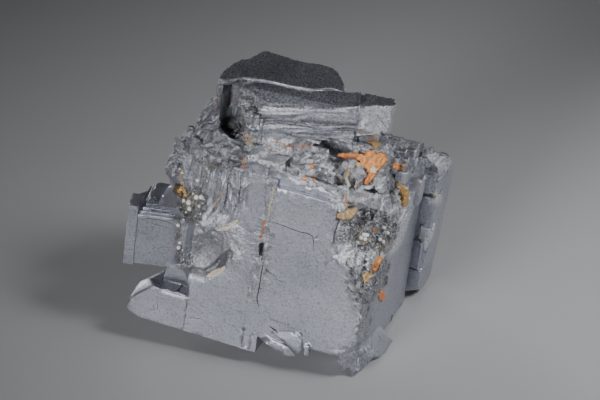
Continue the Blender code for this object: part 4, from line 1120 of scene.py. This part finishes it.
def galena_finish(group):
    """Lead-grey crystal: clean faces, hackle, painted highlights, dark sand that is also painted shade on the
    tops, grime with painted shade, brown stain and pits.
    """
    material, tree, shader, grain = start_finish("galena_lead_grey", group)
    sand_and_top_shade, broken, grime_and_shade = parts_of(tree, "zones")
    stained, highlight_share, _ = parts_of(tree, "stains_and_highlights")
    smudge = map_range(tree, grain["Smudge"], 0.35, 0.65, 0, 1)
    spots = map_range(tree, grain["Speckle"], 0.35, 0.68, 0, 1)
    dots = map_range(tree, grain["Speckle"], 0.45, 0.34, 0, 0.85)
    patches = map_range(tree, grain["Height"], 0.40, 0.60, 0, 1)
    clean = mix_colour(tree, smudge, *CLEAN)
    clean = mix_colour(tree, times(tree, spots, 0.45), clean, GLINT)
    clean = mix_colour(tree, times(tree, dots, 0.55), clean, DOT)
    hackle = mix_colour(tree, patches, *HACKLE)
    hackle = mix_colour(tree, times(tree, spots, 0.30), hackle, HACKLE_GLINT)
    hackle = mix_colour(tree, dots, hackle, HACKLE_DOT)
    # Painted highlight on facets that catch the light, held off the dark dots.
    highlight_mask = times(tree, highlight_share, math_of(tree, "SUBTRACT", 1.0, dots), True)
    body = mix_colour(tree, broken, clean, hackle)
    # Sand paints the tops dark, partly as painted shade; the dirt mix is grime and painted shade; the brown
    # is the crystal's own stain.
    for share, colours in ((highlight_mask, PAINTED_HIGHLIGHT), (sand_and_top_shade, SAND_AND_TOP_SHADE), (times(tree, grime_and_shade, 0.85), DIRT_AND_SHADE),
                           (times(tree, stained, 0.6), BROWN)):
        body = mix_colour(tree, share, body, mix_colour(tree, spots, *colours))
    feed(tree, mix_colour(tree, grain["Pits"], body, PIT), shader.inputs["Base Color"])
    dull = map_range(tree, grain["Smudge"], 0.3, 0.7, 0.38, 0.50)
    for share in (sand_and_top_shade, grime_and_shade):
        dull = math_of(tree, "ADD", dull, times(tree, share, 0.25), True)
    feed(tree, dull, shader.inputs["Roughness"])
    matt = times(tree, math_of(tree, "MAXIMUM", broken, sand_and_top_shade), 0.3)
    feed(tree, math_of(tree, "SUBTRACT", 0.9, matt), shader.inputs["Metallic"])
    rough = math_of(tree, "ADD", times(tree, broken, 1.6), 1.0)
    bump_of(tree, shader, times(tree, grain["Height"], rough), 0.45)
    return "galena", material


def crumb_finish(group, slot, name, dark, light, metallic, roughness, bump):
    """Speckled finish for loose grains, chalcopyrite and calcite."""
    material, tree, shader, grain = start_finish(name, group)
    spots = map_range(tree, grain["Speckle"], 0.35, 0.65, 0, 1)
    smudge = map_range(tree, grain["Smudge"], 0.4, 0.6, 0, 1)
    mixed = times(tree, math_of(tree, "ADD", spots, smudge), 0.5)
    feed(tree, mix_colour(tree, mixed, dark, light), shader.inputs["Base Color"])
    feed(tree, metallic, shader.inputs["Metallic"])
    feed(tree, roughness, shader.inputs["Roughness"])
    bump_of(tree, shader, grain["Height"], bump)
    return slot, material


# ---------------------------------------------------------------- seeds, and pieces made of many copies

def shapes_of(seed):
    """Corners and faces of a seed, which is then taken off the bench."""
    points = np.array([vertex.co[:] for vertex in seed.data.vertices])
    faces = [tuple(polygon.vertices) for polygon in seed.data.polygons]
    bpy.data.objects.remove(seed)
    return points, faces


def grain_seed():
    """Angular grain, one millimetre across: a ball of few faces with two sides broken off."""
    deselect()
    bpy.ops.mesh.primitive_ico_sphere_add(subdivisions=1, radius=0.5)
    bpy.ops.object.mode_set(mode="EDIT")
    for broken_at, facing in (((0, 0, 0.22), (0.2, 0.1, 1)), ((0.26, 0, 0), (1, -0.3, 0.1))):
        bpy.ops.mesh.select_all(action="SELECT")
        bpy.ops.mesh.bisect(plane_co=broken_at, plane_no=facing, use_fill=True, clear_outer=True)
    bpy.ops.object.mode_set(mode="OBJECT")
    return shapes_of(bpy.context.object)


def worn_seed(edge, cuts=0):
    """The primitive just added, with its edges broken."""
    bpy.ops.object.mode_set(mode="EDIT")
    bpy.ops.mesh.bevel(offset=edge, segments=1, affect="EDGES")
    if cuts:
        bpy.ops.mesh.subdivide(number_cuts=cuts)
    bpy.ops.object.mode_set(mode="OBJECT")
    return shapes_of(bpy.context.object)


def bead_seed():
    """Round bead with a flattened seat, one millimetre wide."""
    deselect()
    bpy.ops.mesh.primitive_ico_sphere_add(subdivisions=3, radius=0.5)
    seed = bpy.context.object
    for vertex in seed.data.vertices:
        vertex.co *= 1 + noise.noise(vertex.co * 3.1) * 0.06
        vertex.co.z = max(vertex.co.z, -0.34)
    return shapes_of(seed)


def turned(angles):
    return Euler(angles).to_matrix().to_4x4()


def any_turn(rng):
    return turned([rng.uniform(0, math.tau) for _ in range(3)])


def placed(point, turn, sides):
    return Matrix.Translation(point) @ turn @ Matrix.Diagonal((*sides, 1))


def strewn(name, seed, placements, rng, jitter):
    """One piece from many copies of a seed, each with its own corners moved a little."""
    points, faces = seed
    all_points = []
    all_faces = []
    for number, matrix in enumerate(placements):
        turn = np.array(matrix.to_3x3())
        own = points * (1 + jitter * (rng.random(points.shape) - 0.5))
        all_points.append(own @ turn.T + np.array(matrix.translation))
        start = number * len(points)
        all_faces.extend(tuple(corner + start for corner in face) for face in faces)
    return object_of(name, np.vstack(all_points).tolist(), all_faces)


# ---------------------------------------------------------------- grains, sand, blocks and teeth

def places_inside(outline, count, rng):
    corners = np.array(outline, float)
    low = corners.min(axis=0)
    high = corners.max(axis=0)
    found = []
    while len(found) < count:
        tries = low + (high - low) * rng.random((count, 2))
        found.extend(tries[share_inside(tries, outline, 0.01) > 0.99].tolist())
    return found[:count]


def loose_grains(sight, finishes, rng):
    seed = grain_seed()
    lots = {}
    for outline, count, small, large, finish in GRAINS.values():
        if isinstance(outline, str):
            outline = PARTS[outline]["outline"]
        for point, normal in sight.along(places_inside(outline, count, rng)):
            size = small + (large - small) * rng.random() ** 2.2
            sides = (size * rng.uniform(0.7, 1.3), size * rng.uniform(0.7, 1.3), size)
            spot = point + normal * size * rng.uniform(-0.1, 0.22)
            lots.setdefault(finish, []).append(placed(spot, any_turn(rng), sides))
    for finish, placements in lots.items():
        lay_down(strewn(f"grains_{finish}", seed, placements, rng, 0.35), finishes[finish])


class Skin:
    """Triangles of the finished crystal, to drop grains on where no camera looks as well."""

    def __init__(self, piece):
        mesh = piece.data
        mesh.calc_loop_triangles()
        corners = np.array([vertex.co[:] for vertex in mesh.vertices])
        self.corners = corners[np.array([triangle.vertices[:] for triangle in mesh.loop_triangles])]
        sides = np.cross(self.corners[:, 1] - self.corners[:, 0], self.corners[:, 2] - self.corners[:, 0])
        self.areas = np.linalg.norm(sides, axis=1) / 2
        self.normals = sides / np.maximum(self.areas[:, None] * 2, 1e-12)
        self.middles = self.corners.mean(axis=1)

    def drop(self, count, weight, rng):
        """Random spots, denser where weight(middles, normals) is higher: (point, normal) pairs."""
        share = self.areas * weight(self.middles, self.normals)
        picks = rng.choice(len(share), size=count, p=share / share.sum())
        mix = rng.dirichlet((1, 1, 1), size=count)
        spots = (self.corners[picks] * mix[:, :, None]).sum(axis=1)
        return [(Vector(spot), Vector(normal)) for spot, normal in zip(spots, self.normals[picks])]


def sand_grains(skin, finish, rng):
    """Fine dark sand grown over the tops of the upper slab and the rear ledges."""
    seed = grain_seed()

    def tops(middles, normals):
        high = ramps(middles[:, 2], 74, 77)
        rear = 0.4 * ramps(middles[:, 1], 26, 30) * ramps(middles[:, 2], 50, 54)
        return np.clip((normals[:, 2] - 0.7) / 0.2, 0, 1) * np.maximum(high, rear)

    placements = []
    for spot, normal in skin.drop(SAND_GRAINS, tops, rng):
        size = rng.uniform(0.18, 0.46)
        placements.append(placed(spot + normal * size * 0.12, any_turn(rng), (size, size, size * 0.8)))
    lay_down(strewn("galena_sand", seed, placements, rng, 0.4), finish)


def hidden_blocks(skin, sight, finish, rng):
    """Small cleavage blocks on the broken back and behind the upper slab."""
    deselect()
    bpy.ops.mesh.primitive_cube_add(size=1)
    seed = worn_seed(0.06)

    def behind(middles, normals):
        back = ramps(middles[:, 1], 42, 47)
        saddle = ramps(middles[:, 1], 24, 28) * (middles[:, 2] > 46) * (middles[:, 2] < 76)
        return np.maximum(back, saddle * 0.6)

    placements = []
    for spot, normal in skin.drop(BACK_BLOCKS, behind, rng):
        sides = [0.8 + 3.4 * rng.random() ** 2 for _ in range(3)]
        lean = turned([math.radians(rng.normal(0, 5)) for _ in range(3)])
        if any(sight.sees(spot + shift) for shift in (Vector(), normal * 1.6, UPWARD * 2.2)):
            continue
        reach = sum(abs(part) * side for part, side in zip(normal, sides))
        placements.append(placed(spot - normal * reach * 0.34, lean, sides))
    lay_down(strewn("galena_back_blocks", seed, placements, rng, 0.12), finish)


def teeth(sight, finish, rng):
    """Blocks left standing between the cube planes."""
    deselect()
    bpy.ops.mesh.primitive_cube_add(size=1)
    seed = worn_seed(0.07, 1)
    placements = []
    for x, y, sides in TEETH.values():
        found = sight.at(x, y)
        if found:
            point, normal = found
            reach = sum(abs(part) * side for part, side in zip(normal, sides))
            tilt = turned([rng.uniform(-0.05, 0.05) for _ in range(3)])
            placements.append(placed(point - normal * reach * 0.02, tilt, sides))
    lay_down(strewn("teeth", seed, placements, rng, 0.06), finish)


# ---------------------------------------------------------------- threads, crumbs, prisms, crusts and beads

def evened(sight, places, pace):
    """Surface points at an even pace along places on the picture."""
    stops = []
    for (x0, y0), (x1, y1) in zip(places, places[1:]):
        count = max(1, round(math.hypot(x1 - x0, y1 - y0) / pace))
        stops.extend((x0 + (x1 - x0) * step / count, y0 + (y1 - y0) * step / count) for step in range(count))
    return sight.along([*stops, places[-1]])


def thread_shape(found, width, height, seed):
    """Lumpy strip with a rounded back that lies along surface points."""
    corners = []
    for number, (point, normal) in enumerate(found):
        before = found[max(number - 1, 0)][0]
        after = found[min(number + 1, len(found) - 1)][0]
        swell = 0.75 + 0.8 * noise.noise(point * 1.3 + Vector((seed, 0, 0)))
        if number in (0, len(found) - 1):
            swell = 0.3
        across = (after - before).normalized().cross(normal).normalized() * width * swell / 2
        lift = normal * height * max(0.35, swell)
        for reach, rise in ((-1, -0.5), (-0.75, 0.55), (0, 1), (0.75, 0.55), (1, -0.5)):
            corners.append(point + across * reach + lift * rise)
    last = len(corners) - 1
    ends = [(0, 1, 2, 3, 4), tuple(last - corner for corner in range(5))]
    return corners, tube_faces(5, len(found)) + ends


def threads(sight, finishes):
    for number, (name, (places, width, height, finish)) in enumerate(THREADS.items()):
        found = evened(sight, places, 1.0)
        if len(found) > 2:
            piece = object_of(f"thread_{name}", *thread_shape(found, width, height, number))
            lay_down(faced_outward(piece), finishes[finish], smooth_angle=40)


def crumb_lines(sight, finishes, rng):
    seed = grain_seed()
    for name, (places, width, dense, finish) in CRUMB_LINES.items():
        found = evened(sight, places, 0.8)
        placements = []
        for (point, normal), (after, _) in zip(found, found[1:]):
            gap = after - point
            if gap.length > 3:
                continue
            for _ in range(rng.poisson(gap.length * dense)):
                size = rng.uniform(0.18, 0.55)
                side = gap.normalized().cross(normal) * width * (rng.random() - 0.5)
                spot = point + gap * rng.random() + side + normal * size * 0.15
                placements.append(placed(spot, any_turn(rng), (size, size, size)))
        if placements:
            lay_down(strewn(f"crumbs_{name}", seed, placements, rng, 0.35), finishes[finish])


def prisms(sight, finishes, rng):
    """Six-sided prisms with broken ends, in front of the nearest part of the surface under them."""
    deselect()
    bpy.ops.mesh.primitive_cylinder_add(vertices=6, radius=0.5, depth=1)
    seed = worn_seed(0.05)
    for name, (first, second, width, finish) in PRISMS.items():
        whole_way = np.array(second) - np.array(first)
        stops = [tuple(np.array(first) + whole_way * step / 4) for step in range(5)]
        found = sight.along(stops)
        if len(found) < len(stops):
            continue
        toward = (EYE_SEEN - found[0][0]).normalized()
        nearness = sorted((point - EYE_SEEN).dot(toward) for point, _ in found)[3] - width * 0.1
        start, end = (EYE_SEEN + looking * nearness / looking.dot(toward)
                      for looking in (sight_line(*first), sight_line(*second)))
        reach = end - start
        turn = reach.to_track_quat("Z", "Y").to_matrix().to_4x4()
        placement = placed((start + end) / 2, turn, (width, width * 0.8, reach.length))
        lay_down(strewn(f"prism_{name}", seed, [placement], rng, 0.15), finishes[finish])


def crust_piece(name, sight, outline, thickness):
    """Patch that drapes over the surface inside an outline on the picture, thin at its border."""
    pace = 0.8
    widest_gap = 2.2
    corners = np.array(outline, float)
    low = corners.min(axis=0) - pace
    high = corners.max(axis=0) + pace
    columns, rows = (int(extent / pace) + 1 for extent in high - low)
    shape = bmesh.new()
    made = {}
    for column in range(columns):
        for row in range(rows):
            x = low[0] + column * pace
            y = low[1] + row * pace
            share = share_inside(np.array([[x, y]]), outline, pace)[0]
            entry = sight.at(x, y) if share >= 0.2 else None
            if entry:
                point, normal = entry
                crown = thickness * (0.35 + 0.65 * share) * (1 + 0.5 * noise.noise(point * 1.2))
                made[(column, row)] = shape.verts.new(point + normal * crown)
    for column in range(columns - 1):
        for row in range(rows - 1):
            ring = [made.get(key) for key in ((column, row), (column, row + 1), (column + 1, row + 1),
                                              (column + 1, row))]
            if None not in ring and max((first.co - second.co).length
                                        for first in ring for second in ring) < widest_gap:
                shape.faces.new(ring)
    bmesh.ops.delete(shape, geom=[vertex for vertex in shape.verts if not vertex.link_faces], context="VERTS")
    if not shape.faces:
        shape.free()
        return None
    bmesh.ops.recalc_face_normals(shape, faces=shape.faces)
    if sum((face.normal.dot(EYE_SEEN - face.calc_center_median()) for face in shape.faces)) < 0:
        bmesh.ops.reverse_faces(shape, faces=shape.faces)
    piece = closed(shape, in_scene(name, bpy.data.meshes.new(name)))
    wall = piece.modifiers.new("wall", "SOLIDIFY")
    wall.thickness = thickness + 0.5
    wall.offset = -1
    rounder = piece.modifiers.new("round", "SUBSURF")
    rounder.levels = rounder.render_levels = 1
    apply_modifiers(piece)
    return piece


def crusts(sight, finishes):
    for name, (outline, thickness, finish) in CRUSTS.items():
        piece = crust_piece(f"crust_{name}", sight, outline, thickness)
        if piece:
            lay_down(piece, finishes[finish], smooth_angle=40)


def lumpy(piece, inflate, size, height, longest):
    """Fills a pocket with a knobbly grain mass."""
    shape = opened(piece)
    refine(shape, lambda middles: np.full(len(middles), longest), longest)
    shape.normal_update()
    moves = [vertex.normal * (inflate + height * noise.noise(vertex.co * size)
                              + height * 0.6 * scallops(vertex.co, UPWARD, 1.1, 0.9))
             for vertex in shape.verts]
    for vertex, move in zip(shape.verts, moves):
        vertex.co += move
    closed(shape, piece)


def gold_masses():
    made = []
    for node_name, finish in GOLD_MASSES.items():
        piece = node_copy(node_name.replace("chalcopyrite", "gold_grains"), node_name)
        lumpy(piece, 0.25, 0.8, 0.3, 0.45)
        made.append((piece, finish, node_name))
    return made


def bead_grounds():
    """Gritty ground under each lot of beads, from the solid with its beads pressed flat."""
    pieces = []
    for node_name, (middle, facing) in BEAD_GROUNDS.items():
        piece = node_copy(node_name.replace("calcite", "bead_ground"), node_name)
        outward = Vector(facing).normalized()
        for vertex in piece.data.vertices:
            rise = (vertex.co - Vector(middle)).dot(outward)
            if rise > 0.1:
                vertex.co -= outward * (rise - 0.1)
        pieces.append((piece, node_name))
    return pieces


def beads(sight, finish, rng):
    seed = bead_seed()
    for name, lot in BEADS.items():
        placements = []
        for x, y, width in lot:
            found = sight.at(x, y)
            if found:
                point, normal = found
                toward = (normal + (EYE_SEEN - point).normalized()).normalized()
                turn = toward.to_track_quat("Z", "Y").to_matrix().to_4x4()
                sides = (width, width * rng.uniform(0.92, 1.05), width * 0.95)
                placements.append(placed(point + toward * width * 0.26, turn, sides))
        lay_down(strewn(f"beads_{name}", seed, placements, rng, 0.0), finish, smooth_angle=50)


# ---------------------------------------------------------------- the scene

def floor():
    deselect()
    bpy.ops.mesh.primitive_plane_add(size=FLOOR_SIZE)
    plane = bpy.context.object
    plane.name = "floor"
    material = bpy.data.materials.new("pale_floor")
    material.use_nodes = True
    shader = material.node_tree.nodes["Principled BSDF"]
    shader.inputs["Base Color"].default_value = FLOOR_COLOUR
    shader.inputs["Roughness"].default_value = 0.5
    shader.inputs["Specular IOR Level"].default_value = 0.25
    plane.data.materials.append(material)


def studio():
    specimen = bpy.data.collections.new("specimen_alone")
    for piece in bpy.context.scene.objects:
        if piece.type == "MESH" and piece.name != "floor":
            specimen.objects.link(piece)
    for name, (place, target, size, power, spread) in LIGHTS.items():
        data = bpy.data.lights.new(name, "AREA")
        data.shape = "RECTANGLE"
        data.size, data.size_y = size
        data.energy = power
        data.spread = math.radians(spread)
        light = in_scene(name, data)
        light.location = place
        light.rotation_euler = (Vector(target) - Vector(place)).to_track_quat("-Z", "Y").to_euler()
        if name in HIDDEN_SIDE_LIGHTS:
            light.light_linking.receiver_collection = specimen
    world = bpy.data.worlds.new("studio")
    world.use_nodes = True
    background = world.node_tree.nodes["Background"]
    background.inputs["Color"].default_value = WORLD_COLOUR
    background.inputs["Strength"].default_value = WORLD_STRENGTH
    bpy.context.scene.world = world


def camera():
    data = bpy.data.cameras.new("camera")
    data.lens = LENS_MM
    data.sensor_width = SENSOR_MM
    data.clip_start = 0.05
    data.clip_end = 20
    made = in_scene("camera", data)
    made.location = EYE
    made.rotation_euler = (EYE_TILT, 0, 0)
    bpy.context.scene.camera = made


def main():
    rng = np.random.default_rng(4)
    group = grain_group()
    finishes = {name: crumb_finish(group, *values) for name, values in CRUMB_FINISHES.items()}
    lead_grey = galena_finish(group)
    crystal = node_copy("galena_crystal", "galena")
    whole = Sight(crystal)
    kept = cut_marks(crystal, whole)
    crystal_relief(crystal, kept, whole)
    skin = Skin(crystal)
    grounds = bead_grounds()
    golds = gold_masses()
    sight = Sight(crystal, *[piece for piece, _ in grounds])
    over_gold = Sight(crystal, *[piece for piece, _, _ in golds])
    loose_grains(sight, finishes, rng)
    threads(sight, finishes)
    crumb_lines(over_gold, finishes, rng)
    prisms(sight, finishes, rng)
    # The teeth take the lighter copy of lead as a painted highlight.
    teeth(sight, finishes["painted_lit_lead"], rng)
    crusts(over_gold, finishes)
    beads(sight, finishes["white"], rng)
    sand_grains(skin, finishes["dark"], rng)
    hidden_blocks(skin, sight, finishes["lead"], rng)
    for piece, finish, node_name in golds:
        lay_down(piece, finishes[finish], node_name, 30)
    for piece, node_name in grounds:
        lumpy(piece, 0.2, 0.8, 0.4, 0.4)
        lay_down(piece, finishes["brown"], node_name)
    lay_down(crystal, lead_grey, "galena", 24)
    floor()
    studio()
    camera()


main()
